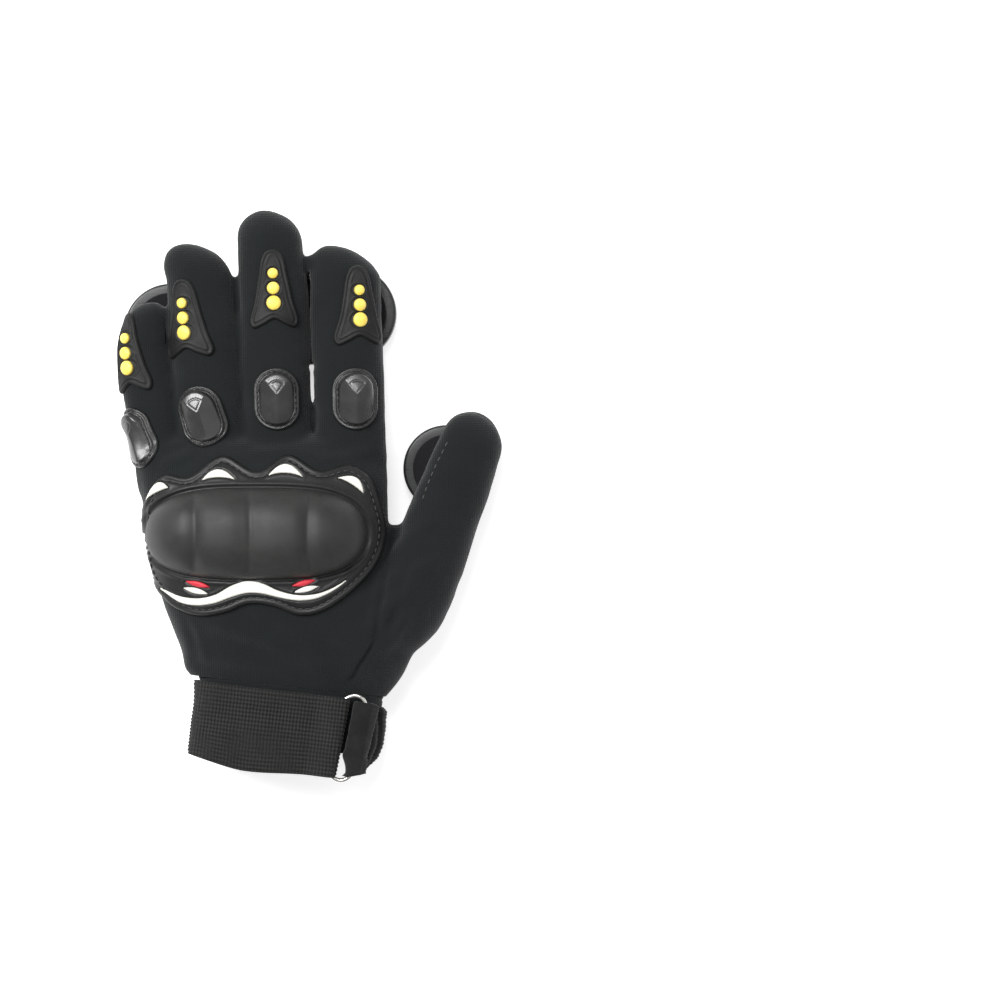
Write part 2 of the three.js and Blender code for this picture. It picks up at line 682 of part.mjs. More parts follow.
function waveShape() {
  const upper = WAVE.map((row) => guardPoint(row.x, row.upper));
  const lower = WAVE.map((row) => guardPoint(row.x, row.lower)).reverse();
  const shape = new THREE.Shape();
  shape.moveTo(upper[0].x, upper[0].y);
  shape.splineThru(upper.slice(1));
  shape.lineTo(lower[0].x, lower[0].y);
  shape.splineThru(lower.slice(1));
  return shape;
}

function leafShape(row) {
  const middle = guardPoint(row.x, row.y);
  const along = acrossAt(row.turn).multiplyScalar(LEAF_LENGTH / 2);
  const bulge = acrossAt(row.turn + 90).multiplyScalar(LEAF_WIDTH);
  const shape = new THREE.Shape();
  shape.moveTo(middle.x - along.x, middle.y - along.y);
  shape.quadraticCurveTo(middle.x + bulge.x, middle.y + bulge.y, middle.x + along.x, middle.y + along.y);
  shape.quadraticCurveTo(middle.x - bulge.x, middle.y - bulge.y, middle.x - along.x, middle.y - along.y);
  return shape;
}

// Height of the back of the hand above the seam, across the guard
function backHeight(x, y) {
  const share = y / HAND_LENGTH;
  const index = HAND_SECTIONS.findIndex((row) => row.y > share);
  const after = HAND_SECTIONS[index];
  const before = HAND_SECTIONS[index - 1];
  const blend = (share - before.y) / (after.y - before.y);
  const mixed = (key) => before[key] + (after[key] - before[key]) * blend;
  const halfWidth = ((mixed('right') - mixed('left')) / 2) * HAND_WIDTH;
  const middle = ((mixed('right') + mixed('left')) / 2) * HAND_WIDTH;
  const rise = PALM_LEVEL + mixed('high') * HAND_DEPTH - SEAM_LEVEL;
  const off = Math.min(0.995, Math.abs(x - middle) / halfWidth);
  return rise * (1 - off ** ROUND_BACK) ** (1 / ROUND_BACK);
}

// Stations of the hump along its half width: close at the ends and round each groove
function humpStations() {
  const ends = [0.995, 0.95, 0.82];
  const stations = [...ends.map((share) => -share), ...ends, ...HUMP_FLATS];
  HUMP_GROOVES.forEach((place) => {
    stations.push(2 * place - GROOVE_HALF, 2 * place, 2 * place + GROOVE_HALF);
  });
  return stations.sort((a, b) => a - b);
}

// Half sections along the width, each a dome over the hand, dipped at the grooves
function humpForm(inset) {
  const arcs = 6;
  const middle = guardPoint(HUMP_PLACE.x, HUMP_PLACE.y);
  const halfLength = HUMP_LENGTH / 2 - inset;
  const halfWidth = HUMP_WIDTH / 2 - inset;
  const rings = humpStations().map((share) => {
    const x = middle.x + share * halfWidth;
    const end = (1 - Math.abs(share) ** 3.4) ** (1 / 2.2);
    const inGroove = HUMP_GROOVES.some((place) => Math.abs(share - 2 * place) < GROOVE_HALF / 2);
    const groove = inGroove ? HUMP_GROOVE : 0;
    const base = backHeight(x, middle.y);
    const ring = [];
    for (let arc = 0; arc <= arcs; arc += 1) {
      const turn = (arc / arcs) * Math.PI;
      const height = base + GUARD_THICKNESS + (HUMP_HEIGHT - inset) * end * Math.sin(turn) ** 0.75
        - groove * Math.sin(turn);
      const y = middle.y - Math.sign(Math.cos(turn)) * Math.abs(Math.cos(turn)) ** 0.8 * halfLength * end;
      ring.push(new THREE.Vector3(x, y, SEAM_LEVEL + height));
    }
    ring.push(new THREE.Vector3(x, middle.y + halfLength * end, SEAM_LEVEL));
    ring.push(new THREE.Vector3(x, middle.y - halfLength * end, SEAM_LEVEL));
    return ring.reverse();
  });
  return loft(rings);
}

function addGuard() {
  const outline = closedSpline(GUARD_OUTLINE.map((point) => guardPoint(point.x, point.y)), 56);
  const column = prism(outline, SEAM_LEVEL, GUARD_TOP);
  addPiece('guard_base', overlay(column, gloveForm, GUARD_LIFT, GUARD_THICKNESS), 'moulded');
  const bed = gloveForm(INLAY_LIFT);
  addPiece('guard_hump', humpForm(0).subtract(humpForm(HUMP_WALL)).subtract(bed), 'hump');
  CRESCENTS.forEach((row) => guardInlay('guard_crescent_' + row.name, crescentShape(row), 'pale', 4));
  guardInlay('guard_wave', waveShape(), 'pale', 1);
  LEAVES.forEach((row) => guardInlay('guard_leaf_' + row.name, leafShape(row), row.colour, 4));
}

// A place on a finger: along it in lengths, rolled round it and turned in its own plane
function fingerMatrix(finger, along, roll, turn) {
  const radians = THREE.MathUtils.degToRad;
  const root = fingerRoot(finger);
  return new THREE.Matrix4().makeTranslation(root.x, root.y, root.z)
    .multiply(new THREE.Matrix4().makeRotationZ(radians(-finger.heading)))
    .multiply(new THREE.Matrix4().makeTranslation(0, along * finger.length * FINGER_LENGTH, 0))
    .multiply(new THREE.Matrix4().makeRotationY(radians(roll)))
    .multiply(new THREE.Matrix4().makeRotationZ(radians(turn)));
}

function patchShape() {
  const sized = (point) => new THREE.Vector2(point.x * PATCH_WIDTH, point.y * PATCH_LENGTH);
  const right = PATCH_OUTLINE.map(sized);
  const left = right.slice(1, -1).reverse().map((point) => new THREE.Vector2(-point.x, point.y));
  return new THREE.Shape([...right, ...left]);
}

// How far a form reaches along a place's own z, within a radius round it
function surfaceAt(form, matrix, radius) {
  const probe = new THREE.CylinderGeometry(radius, radius, 4 * FINGER_DEPTH, 10);
  probe.rotateX(Math.PI / 2);
  probe.translate(0, 0, 2 * FINGER_DEPTH);
  const inverse = matrix.clone().invert();
  const hit = solidOf(probe.applyMatrix4(matrix)).intersect(form).getMesh();
  let highest = 0;
  for (let index = 0; index < hit.vertProperties.length; index += 3) {
    const point = new THREE.Vector3().fromArray(hit.vertProperties, index).applyMatrix4(inverse);
    highest = Math.max(highest, point.z);
  }
  return highest;
}

function studGeometry(diameter) {
  const radius = diameter / 2;
  const points = [new THREE.Vector2(0, 0), new THREE.Vector2(radius, 0)];
  const steps = 2;
  for (let step = 0; step <= steps; step += 1) {
    const angle = (step / steps) * Math.PI * 0.5;
    points.push(new THREE.Vector2(
      step === steps ? 0 : radius * Math.cos(angle),
      STUD_HEIGHT * (0.3 + 0.7 * Math.sin(angle)),
    ));
  }
  const dome = new THREE.LatheGeometry(points, 8);
  dome.rotateX(Math.PI / 2);
  return dome;
}

function addFingerTrim(finger) {
  const form = (outset) => fingerForm(finger, outset);
  const patchTop = GAP + PATCH_THICKNESS;
  const patchPlace = fingerMatrix(finger, finger.patch, finger.patchRoll, 0);
  const patch = prism(patchShape(), 0, 2 * FINGER_DEPTH).scale(finger.slim, 1, 1).applyMatrix4(patchPlace);
  addPiece('patch_' + finger.name, overlay(patch, form, GAP, PATCH_THICKNESS), 'moulded');

  const patchForm = form(patchTop);
  for (let number = 1; number <= 3; number += 1) {
    const shift = FIRST_STUD * PATCH_LENGTH - (number - 1) * STUD_PITCH;
    const diameter = STUD_DIAMETER + (number - 2) * STUD_GROWTH;
    const along = finger.patch + shift / (finger.length * FINGER_LENGTH);
    const place = fingerMatrix(finger, along, finger.patchRoll, 0);
    const level = surfaceAt(patchForm, place, diameter / 2) + GAP;
    const stud = studGeometry(diameter);
    stud.translate(0, 0, level);
    addPiece('stud_' + finger.name + '_' + number, solidOf(stud.applyMatrix4(place)), 'yellow');
  }

  const padPlace = fingerMatrix(finger, finger.pad, finger.padRoll, finger.padTurn);
  const padShape = stadium(PAD_LENGTH, PAD_WIDTH * finger.slim);
  const pad = prism(padShape, 0, 2 * FINGER_DEPTH, 4).applyMatrix4(padPlace);
  addPiece('pad_' + finger.name, overlay(pad, gloveForm, GAP, PAD_THICKNESS), 'moulded');

  const capLevel = surfaceAt(gloveForm(GAP + PAD_THICKNESS), padPlace, PAD_CAP_WIDTH / 8);
  const cap = padCap().scale(finger.slim, 1, 1).translate(0, 0, capLevel).applyMatrix4(padPlace);
  const bed = gloveForm(2 * GAP + PAD_THICKNESS);
  addPiece('pad_cap_' + finger.name, solidOf(cap).subtract(bed), 'gloss');
}

// A long dome with a ridge line: an extruded stadium with a wide bevel
function padCap() {
  const bevel = CAP_SHOULDER * PAD_CAP_WIDTH;
  const slope = CAP_SLOPE * PAD_CAP_HEIGHT;
  const geometry = new THREE.ExtrudeGeometry(
    stadium(PAD_CAP_LENGTH - 2 * bevel, PAD_CAP_WIDTH - 2 * bevel),
    {
      depth: PAD_CAP_HEIGHT,
      bevelEnabled: true,
      bevelThickness: slope,
      bevelSize: bevel,
      bevelSegments: 2,
      curveSegments: 4,
    },
  );
  geometry.translate(0, 0, -slope);
  return geometry;
}

// A puck turned round the Z axis: rounded edges, and a recess with a rim if it has one
function discPuck(radius, thickness, rim, recess) {
  const edge = PUCK_ROUNDING;
  const points = [];
  if (recess > 0) {
    points.push(new THREE.Vector2(0, recess), new THREE.Vector2(radius - rim - recess, recess));
    points.push(new THREE.Vector2(radius - rim, 0));
  } else {
    points.push(new THREE.Vector2(0, 0));
  }
  const steps = 2;
  for (let step = 0; step <= steps; step += 1) {
    const angle = (step / steps) * Math.PI * 0.5;
    points.push(new THREE.Vector2(
      radius - edge + edge * Math.sin(angle),
      edge - edge * Math.cos(angle),
    ));
  }
  points.push(new THREE.Vector2(radius, thickness - edge / 3));
  points.push(new THREE.Vector2(radius - edge / 3, thickness), new THREE.Vector2(0, thickness));
  const puck = new THREE.LatheGeometry(points, 28);
  puck.rotateX(Math.PI / 2);
  return puck;
}

function lensShape(row, radius) {
  const half = (row.length * radius) / 2;
  const bulge = (row.width * radius) / 2;
  const shape = new THREE.Shape();
  const middle = row.y * radius;
  const sag = -row.sag * radius;
  shape.moveTo(-half, middle + sag);
  shape.quadraticCurveTo(0, middle + 2 * bulge - sag, half, middle + sag);
  shape.quadraticCurveTo(0, middle - 2 * bulge - sag, -half, middle + sag);
  return shape;
}

// A long puck with round ends and rounded edges
function longPuck() {
  const edge = PUCK_ROUNDING;
  const shape = stadium(FINGER_PUCK_LENGTH - 2 * edge, FINGER_PUCK_WIDTH - 2 * edge);
  const geometry = new THREE.ExtrudeGeometry(shape, {
    depth: FINGER_PUCK_THICKNESS - 2 * edge,
    bevelEnabled: true,
    bevelThickness: edge,
    bevelSize: edge,
    bevelSegments: 2,
    curveSegments: 7,
  });
  geometry.translate(0, 0, edge);
  return geometry;
}

function circle(radius) {
  const shape = new THREE.Shape();
  shape.absarc(0, 0, radius, 0, 2 * Math.PI, false);
  return shape;
}

// The hook disc between a puck and the fabric: flat below, following the fabric above
function hookDisc(shape, matrix, thickness) {
  const low = thickness + GAP;
  const column = prism(shape, low, low + 2 * HOOK_THICKNESS, 7).applyMatrix4(matrix);
  return solidOf(column).subtract(gloveForm(GAP));
}

function addPucks() {
  const palmDisc = discPuck(PALM_PUCK_RADIUS, PALM_PUCK_THICKNESS, PALM_PUCK_RIM, PALM_PUCK_RECESS);
  const relief = PUCK_LENSES.map((row) => {
    return solidOf(prism(lensShape(row, PALM_PUCK_RADIUS), 0, 2 * PALM_PUCK_RECESS, 6));
  });
  addPiece('palm_puck', joined([solidOf(palmDisc), ...relief]), 'puck');

  const fingerPlace = new THREE.Matrix4()
    .makeTranslation(FINGER_PUCK_PLACE.x * HAND_WIDTH, FINGER_PUCK_PLACE.y * HAND_LENGTH, 0)
    .multiply(new THREE.Matrix4().makeRotationZ(THREE.MathUtils.degToRad(90 + FINGER_PUCK_TURN)));
  addPiece('finger_puck', solidOf(longPuck().applyMatrix4(fingerPlace)), 'puck');

  const { along, aside } = THUMB_PUCK_PLACE;
  const thumbMiddle = thumbPoint(along * THUMB_LENGTH, aside * THUMB_WIDTH);
  const thumbPlace = new THREE.Matrix4().makeTranslation(thumbMiddle.x, thumbMiddle.y, 0);
  const thumbDisc = discPuck(THUMB_PUCK_RADIUS, THUMB_PUCK_THICKNESS, 0, 0).applyMatrix4(thumbPlace);
  addPiece('thumb_puck', solidOf(thumbDisc), 'puck');

  const palmHook = circle(PALM_PUCK_RADIUS - HOOK_MARGIN);
  addPiece('palm_hook', hookDisc(palmHook, new THREE.Matrix4(), PALM_PUCK_THICKNESS), 'hook');
  const fingerHook = stadium(FINGER_PUCK_LENGTH - 2 * HOOK_MARGIN, FINGER_PUCK_WIDTH - 2 * HOOK_MARGIN);
  addPiece('finger_hook', hookDisc(fingerHook, fingerPlace, FINGER_PUCK_THICKNESS), 'hook');
  const thumbHook = circle(THUMB_PUCK_RADIUS - HOOK_MARGIN);
  addPiece('thumb_hook', hookDisc(thumbHook, thumbPlace, THUMB_PUCK_THICKNESS), 'hook');
}

addPanels();
addWrist();
addGuard();
FINGERS.forEach(addFingerTrim);
addPucks();

export default glove;
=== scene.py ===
"""The looks of a slide glove for the left hand, lying palm down on its three pucks.

Forms are worked out in millimetres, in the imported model's own axes, and turned into metres
where a mesh is made.
"""
import math
from functools import partial

import bmesh
import bpy
import numpy as np
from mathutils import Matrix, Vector, noise
from mathutils.bvhtree import BVHTree


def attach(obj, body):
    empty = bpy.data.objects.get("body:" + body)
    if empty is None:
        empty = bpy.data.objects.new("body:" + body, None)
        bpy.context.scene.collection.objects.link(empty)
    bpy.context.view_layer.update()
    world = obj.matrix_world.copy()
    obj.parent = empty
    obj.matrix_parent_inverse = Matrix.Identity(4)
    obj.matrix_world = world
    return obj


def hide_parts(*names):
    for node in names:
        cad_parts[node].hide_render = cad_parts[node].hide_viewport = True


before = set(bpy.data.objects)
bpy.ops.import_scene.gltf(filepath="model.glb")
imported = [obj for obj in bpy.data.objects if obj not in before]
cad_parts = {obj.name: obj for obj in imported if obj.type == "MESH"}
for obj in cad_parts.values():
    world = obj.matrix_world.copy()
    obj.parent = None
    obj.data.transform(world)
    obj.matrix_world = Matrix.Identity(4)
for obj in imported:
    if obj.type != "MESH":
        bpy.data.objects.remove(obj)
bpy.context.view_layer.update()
MM = 0.001
UP = np.array([0.0, 0.0, 1.0])
AHEAD = np.array([0.0, 1.0, 0.0])

# Sizes that the solids have too
GAP = 0.3
HAND_LENGTH = 98.0
HAND_WIDTH = 98.0
HAND_DEPTH = 34.0
FINGER_LENGTH = 112.8
FINGER_WIDTH = 27.0
FINGER_DEPTH = 22.0
THUMB_LENGTH = 109.5
THUMB_WIDTH = 28.0
THUMB_DEPTH = 24.0
THUMB_SPREAD = 30.7
PALM_LEVEL = 17.1
THUMB_LEVEL = 15.1
SEAM_LEVEL = 27.66
ROUND_BACK = 2.3
ROUND_PALM = 3.2
WRIST_TURN = -6.4
WRIST_X = 9.21
WRIST_Y = -60.17
GUARD_WIDTH = 97.0
GUARD_LENGTH = 64.0
GUARD_THICKNESS = 2.6
FABRIC = 1.7

# y, left, right, low, high, turn of the hand's sections, in its own lengths, widths and depths
HAND_SECTIONS = (
    (-0.64, -0.28, 0.468, -0.17, 0.7, 1),
    (-0.52, -0.345, 0.565, -0.1, 0.82, 0.7),
    (-0.39, -0.385, 0.615, -0.03, 0.93, 0.2),
    (-0.22, -0.44, 0.52, 0, 1, 0),
    (-0.05, -0.485, 0.5, 0, 1.03, 0),
    (0.14, -0.51, 0.493, 0, 1, 0),
    (0.27, -0.535, 0.49, 0, 0.87, 0),
    (0.35, -0.55, 0.485, 0.02, 0.74, 0),
    (0.39, -0.52, 0.46, 0.09, 0.62, 0),
    (0.408, -0.47, 0.41, 0.2, 0.48, 0),
)

# Fingers: name, root, heading in degrees, length, width, depth, lean of the tip, where the patch
# and the pad sit along it, how far they are rolled round it and turned, and how slim they are
FINGER_KEYS = ("name", "x", "y", "heading", "length", "width", "deep", "lean",
               "patch", "patch_roll", "pad", "pad_roll", "pad_turn", "slim")
FINGER_ROWS = (
    ("pinky", -0.429, 0.184, -8.0, 0.671, 0.741, 0.86, 0.28, 0.744, -40, 0.295, -46, 12, 0.76),
    ("ring", -0.21, 0.184, -4.5, 0.886, 1.0, 1.0, -0.17, 0.697, -33, 0.3, -14, 12, 1.0),
    ("middle", 0.046, 0.184, -1.8, 1.0, 1.0, 1.0, -0.08, 0.716, 4, 0.325, 4, 0, 1.0),
    ("index", 0.348, 0.184, -1.5, 0.879, 1.022, 1.0, -0.24, 0.746, 24, 0.37, 12, -1, 1.0),
)
FINGERS = [dict(zip(FINGER_KEYS, row)) for row in FINGER_ROWS]

# along, width share, depth share of a finger's straight part
FINGER_BODY = ((0.0, 0.96, 0.96), (0.3, 1.02, 1.0), (0.7, 1.0, 0.98), (1.0, 0.98, 0.93))

# Last angle and number of rows of a round tip
TIP_END = 0.492 * math.pi
TIP_ROWS = 18

# along, aside, width, depth, lift of the thumb's sections
THUMB_SECTIONS = (
    (-0.02, 0, 0.8, 0.9, 0.12),
    (0.16, 0.27, 1.36, 1.2, 0.06),
    (0.42, 0.37, 1.1, 1.14, 0.02),
    (0.62, 0.23, 1.04, 1.02, 0),
    (0.78, 0.13, 0.98, 0.96, 0),
    (0.88, 0.06, 0.94, 0.9, 0),
)
THUMB_ROOT = (0.318, -0.465)
# Share of the thumb's depth below the middle of its sections
THUMB_BELOW = 0.46


def across_at(degrees):
    turn = math.radians(degrees)
    return np.array([math.cos(turn), math.sin(turn), 0.0])


def spline(stations, values, places):
    """Smooth values through a table, at any places between its first and last station."""
    x = np.asarray(stations, float)
    y = np.asarray(values, float)
    if y.ndim == 1:
        y = y[:, None]
    slope = np.zeros_like(y)
    step = np.diff(x)[:, None]
    rate = np.diff(y, axis=0) / step
    slope[1:-1] = (rate[:-1] * step[1:] + rate[1:] * step[:-1]) / (step[1:] + step[:-1])
    slope[0] = rate[0]
    slope[-1] = rate[-1]
    at = np.clip(np.searchsorted(x, places, side="right") - 1, 0, len(x) - 2)
    h = step[at]
    t = ((np.asarray(places) - x[at]) / h[:, 0])[:, None]
    made = ((1 + 2 * t) * (1 - t) ** 2 * y[at] + t * (1 - t) ** 2 * h * slope[at]
            + t * t * (3 - 2 * t) * y[at + 1] + t * t * (t - 1) * h * slope[at + 1])
    return made


def smooth_step(value):
    value = np.clip(value, 0.0, 1.0)
    return value * value * (3 - 2 * value)


def bump(value, middle, half):
    """A soft ridge of height 1 round a middle value."""
    return np.exp(-((np.asarray(value) - middle) / half) ** 2)


def full_turn(count):
    return np.linspace(0, 2 * math.pi, count, endpoint=False)


def powered(value, power):
    """A power that keeps the sign."""
    return np.sign(value) * np.abs(value) ** power


def run_length(points, power=1.0):
    """Distance from a line's first point to each of its points."""
    steps = np.linalg.norm(np.diff(points, axis=0), axis=1) ** power
    return np.concatenate([[0], np.cumsum(steps)])


def oval(turn, radius, straight):
    """Places on a circle whose halves are moved apart in y."""
    shift = np.where(np.sin(turn) >= 0, straight, -straight)
    return np.stack([radius * np.cos(turn), radius * np.sin(turn) + shift], 1)


def rim_round(axis, guide, sides):
    """A circle of radius 1 round an axis."""
    side = np.cross(axis, guide)
    side /= np.linalg.norm(side)
    turn = full_turn(sides)[:, None]
    return np.cos(turn) * side + np.sin(turn) * np.cross(axis, side)


def rounded_section(turn, half, rise, drop):
    """Side and height of a section that is rounder on the back than on the palm side."""
    level = np.sin(turn)
    power = 2 / np.where(level > 0, ROUND_BACK, ROUND_PALM)
    side = powered(np.cos(turn), power) * half
    return side, powered(level, power) * np.where(level > 0, rise, drop)


def section_ring(centre, across, half, rise, drop, sides):
    side, height = rounded_section(full_turn(sides), half, rise, drop)
    return centre + side[:, None] * across + height[:, None] * UP


def loft(rings):
    """Closed mesh arrays through rings with the same number of points."""
    count = len(rings)
    sides = len(rings[0])
    verts = np.concatenate(rings + [rings[0].mean(0)[None], rings[-1].mean(0)[None]])
    ring, side = np.meshgrid(np.arange(count - 1), np.arange(sides), indexing="ij")
    a = (ring * sides + side).ravel()
    b = (ring * sides + (side + 1) % sides).ravel()
    faces = np.stack([a, a + sides, b + sides, b], 1).tolist()
    first = count * sides
    last = (count - 1) * sides
    for step in range(sides):
        after = (step + 1) % sides
        faces.append([first, step, after])
        faces.append([first + 1, last + after, last + step])
    return verts, faces


def joined(parts):
    """Several mesh arrays as one."""
    verts = []
    faces = []
    start = 0
    for part_verts, part_faces in parts:
        verts.append(part_verts)
        faces.extend([[index + start for index in face] for face in part_faces])
        start += len(part_verts)
    return np.concatenate(verts), faces


def plain_mesh(name, verts, faces):
    mesh = bpy.data.meshes.new(name)
    mesh.from_pydata((np.asarray(verts) * MM).tolist(), [], faces)
    mesh.validate()
    mesh.update()
    return mesh


def linked(name, data):
    made = bpy.data.objects.new(name, data)
    bpy.context.scene.collection.objects.link(made)
    return made


def add_piece(name, form, material, nodes=()):
    """A piece of the glove from mesh arrays, riding on the one body."""
    mesh = plain_mesh(name, *form)
    mesh.shade_smooth()
    mesh.materials.append(material)
    piece = linked(name, mesh)
    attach(piece, "root")
    if nodes:
        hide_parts(*nodes)
    return piece


def mesh_arrays(mesh):
    """A mesh's points in millimetres and its faces."""
    verts = np.empty(len(mesh.vertices) * 3)
    mesh.vertices.foreach_get("co", verts)
    faces = [list(face.vertices) for face in mesh.polygons]
    return verts.reshape(-1, 3) / MM, faces


def edge_pairs(faces):
    pairs = set()
    for face in faces:
        for one, two in zip(face, face[1:] + face[:1]):
            pairs.add((min(one, two), max(one, two)))
    return np.array(sorted(pairs))


def relaxed(verts, pairs, rounds, share=0.5):
    """Points moved towards the mean of their neighbours."""
    count = len(verts)
    both = np.concatenate([pairs, pairs[:, ::-1]])
    degree = np.bincount(both[:, 0], minlength=count)
    for _ in range(rounds):
        mean = np.stack([np.bincount(both[:, 0], verts[both[:, 1], axis], count)
                         for axis in range(3)], 1)
        verts = verts + share * (mean / degree[:, None] - verts)
    return verts


def point_normals(verts, faces):
    """Normals at the points, from all the faces that meet there."""
    normals = np.zeros_like(verts)
    for sides in {len(face) for face in faces}:
        same = np.array([face for face in faces if len(face) == sides])
        corner = verts[same]
        facing = np.zeros((len(same), 3))
        for step in range(1, sides - 1):
            facing += np.cross(corner[:, step] - corner[:, 0], corner[:, step + 1] - corner[:, 0])
        for step in range(sides):
            for axis in range(3):
                normals[:, axis] += np.bincount(same[:, step], facing[:, axis], len(verts))
    return normals / np.maximum(np.linalg.norm(normals, axis=1), 1e-9)[:, None]


# Where a ray that misses a bed looks for the nearest place, along itself
MISS_DEPTH = 40


class Bed:
    """A surface that other pieces lie on."""

    def __init__(self, verts, faces):
        self.verts = verts
        self.faces = faces
        self.normals = point_normals(verts, faces)
        self.tree = BVHTree.FromPolygons(verts.tolist(), faces)

    def hit(self, origin, direction):
        place, _, face, _ = self.tree.ray_cast(Vector(origin), Vector(direction))
        if place is None:
            place, _, face, _ = self.tree.find_nearest(Vector(origin) + Vector(direction) * MISS_DEPTH)
        corners = self.faces[face]
        place = np.array(place)
        weight = 1 / (np.linalg.norm(self.verts[corners] - place, axis=1) + 0.05)
        normal = (self.normals[corners] * weight[:, None]).sum(0)
        return place, normal / np.linalg.norm(normal)


def inside_distance(points, outline):
    """Distance to a closed outline, positive inside, and the nearest place on it."""
    best = np.full(len(points), np.inf)
    nearest = np.zeros_like(points)
    inside = np.zeros(len(points), bool)
    for start, end in zip(outline, np.roll(outline, -1, axis=0)):
        along = end - start
        share = np.clip(((points - start) @ along) / max(along @ along, 1e-12), 0, 1)
        place = start + share[:, None] * along
        away = ((points - place) ** 2).sum(1)
        closer = away < best
        best[closer] = away[closer]
        nearest[closer] = place[closer]
        crosses = (start[1] > points[:, 1]) != (end[1] > points[:, 1])
        with np.errstate(divide="ignore", invalid="ignore"):
            at = start[0] + (points[:, 1] - start[1]) * along[0] / along[1]
        inside ^= crosses & (points[:, 0] < at)
    return np.where(inside, 1, -1) * np.sqrt(best), nearest


def closed_curve(points, count):
    """A smooth closed outline through points, evenly spaced."""
    points = np.asarray(points, float)
    far = np.concatenate([points[-3:], points, points[:3]])
    length = run_length(far, 0.5)
    dense = spline(length, far, np.linspace(length[3], length[3 + len(points)], 16 * len(points) + 1))
    return resampled(dense, count)[:-1]


def resampled(points, count):
    """An open line's points, evenly spaced, with both ends."""
    length = run_length(points)
    places = np.linspace(0, length[-1], count + 1)
    return np.stack([np.interp(places, length, points[:, axis]) for axis in range(points.shape[1])], 1)


TOP_VIEW = np.eye(4)
RAY_START = 60.0


def dropped(bed, x, y, matrix):
    """Place and normal on a bed under a point of a frame's own x, y plane."""
    turn = matrix[:3, :3]
    return bed.hit(turn @ np.array([x, y, RAY_START]) + matrix[:3, 3], -turn[:, 2])


def laid_piece(outline, step, bed, lift, top, matrix=TOP_VIEW, upright=0.0, fair=1):
    """A closed body on a bed, seen along its own z axis: top gives its height by edge distance."""
    low = outline.min(0) - step
    high = outline.max(0) + step
    xs = np.arange(low[0], high[0] + step, step)
    ys = np.arange(low[1], high[1] + step, step)
    grid = np.stack(np.meshgrid(xs, ys, indexing="ij"), -1)
    middles = (grid[:-1, :-1] + step / 2).reshape(-1, 2)
    used = (inside_distance(middles, outline)[0] > 0).reshape(len(xs) - 1, len(ys) - 1)
    shape = (len(xs), len(ys))
    ring = np.zeros((shape[0] + 1, shape[1] + 1), bool)
    ring[1:-1, 1:-1] = used
    number = np.arange(shape[0] * shape[1]).reshape(shape)
    x_at, y_at = np.nonzero(used)
    corner = [number[x_at + x, y_at + y] for x, y in ((0, 0), (1, 0), (1, 1), (0, 1))]
    cells = np.stack(corner, 1)
    neighbours = [ring[x_at + x, y_at + y] for x, y in ((1, 0), (2, 1), (1, 2), (0, 1))]
    border = []
    for side, neighbour in enumerate(neighbours):
        open_side = ~neighbour
        border.append(np.stack([corner[side][open_side], corner[(side + 1) % 4][open_side]], 1))
    border = np.concatenate(border)
    picked, inverse = np.unique(cells, return_inverse=True)
    cells = inverse.reshape(cells.shape)
    border = np.searchsorted(picked, border)
    points = grid.reshape(-1, 2)[picked]
    depth, nearest = inside_distance(points, outline)
    edge = np.unique(border)
    points[edge] = nearest[edge]
    depth[edge] = 0
    raised = top(np.maximum(depth, 0), points[:, 0], points[:, 1])
    places = np.empty((len(points), 3))
    normals = np.empty((len(points), 3))
    for index, (x, y) in enumerate(points):
        places[index], normals[index] = dropped(bed, x, y, matrix)
    facing = (1 - upright) * normals + upright * matrix[:3, 2]
    facing /= np.linalg.norm(facing, axis=1)[:, None]
    over = places + facing * (lift + raised)[:, None]
    under = places + facing * lift
    count = len(points)
    if fair:
        over = relaxed(over, edge_pairs(cells.tolist()), fair, 0.35)
    faces = cells.tolist() + (cells[:, ::-1] + count).tolist()
    faces += [[b, a, a + count, b + count] for a, b in border.tolist()]
    return np.concatenate([over, under]), faces


def rounded_edge(depth, height, radius):
    """Height of a slab with a quarter-round edge."""
    share = np.clip(1 - depth / radius, 0, 1)
    return height * np.sqrt(np.maximum(1 - share ** 2, 0.02))


def stadium(length, width, count=72):
    """An outline with round ends, long in y."""
    radius = width / 2
    return oval(full_turn(count), radius, length / 2 - radius)


# Fabric of the hand, fingers and thumb
def hand_loft():
    table = np.array(HAND_SECTIONS, float)
    y = table[:, 0] * HAND_LENGTH
    places = np.linspace(y[0], y[-1], 110)
    rings = []
    for place, (left, right, low, high, turn) in zip(places, spline(y, table[:, 1:], places)):
        centre = np.array([(left + right) / 2 * HAND_WIDTH, place, SEAM_LEVEL])
        rise = PALM_LEVEL + high * HAND_DEPTH - SEAM_LEVEL
        drop = SEAM_LEVEL - PALM_LEVEL - low * HAND_DEPTH
        half = (right - left) / 2 * HAND_WIDTH
        rings.append(section_ring(centre, across_at(turn * WRIST_TURN), half, rise, drop, 140))
    return loft(rings)


def limb_loft(root, degrees, rows):
    """Rows: along, aside, level, half width, rise and drop."""
    across = across_at(degrees)
    forward = across_at(degrees + 90)
    rings = []
    for along, aside, level, half, rise, drop in rows:
        centre = root + along * forward + aside * across + level * UP
        rings.append(section_ring(centre, across, half, rise, drop, 72))
    return loft(rings)


def tip_rows(last, length, lean):
    along, aside, level, half, rise, drop = last
    rows = []
    for angle in np.linspace(0, TIP_END, TIP_ROWS)[1:]:
        share = math.sin(angle)
        close = math.cos(angle)
        rows.append((along + length * share, aside + lean * share, level,
                     half * close, rise * close, drop * close))
    return rows


def finger_root(finger):
    return np.array([finger["x"] * HAND_WIDTH, finger["y"] * HAND_LENGTH, SEAM_LEVEL])


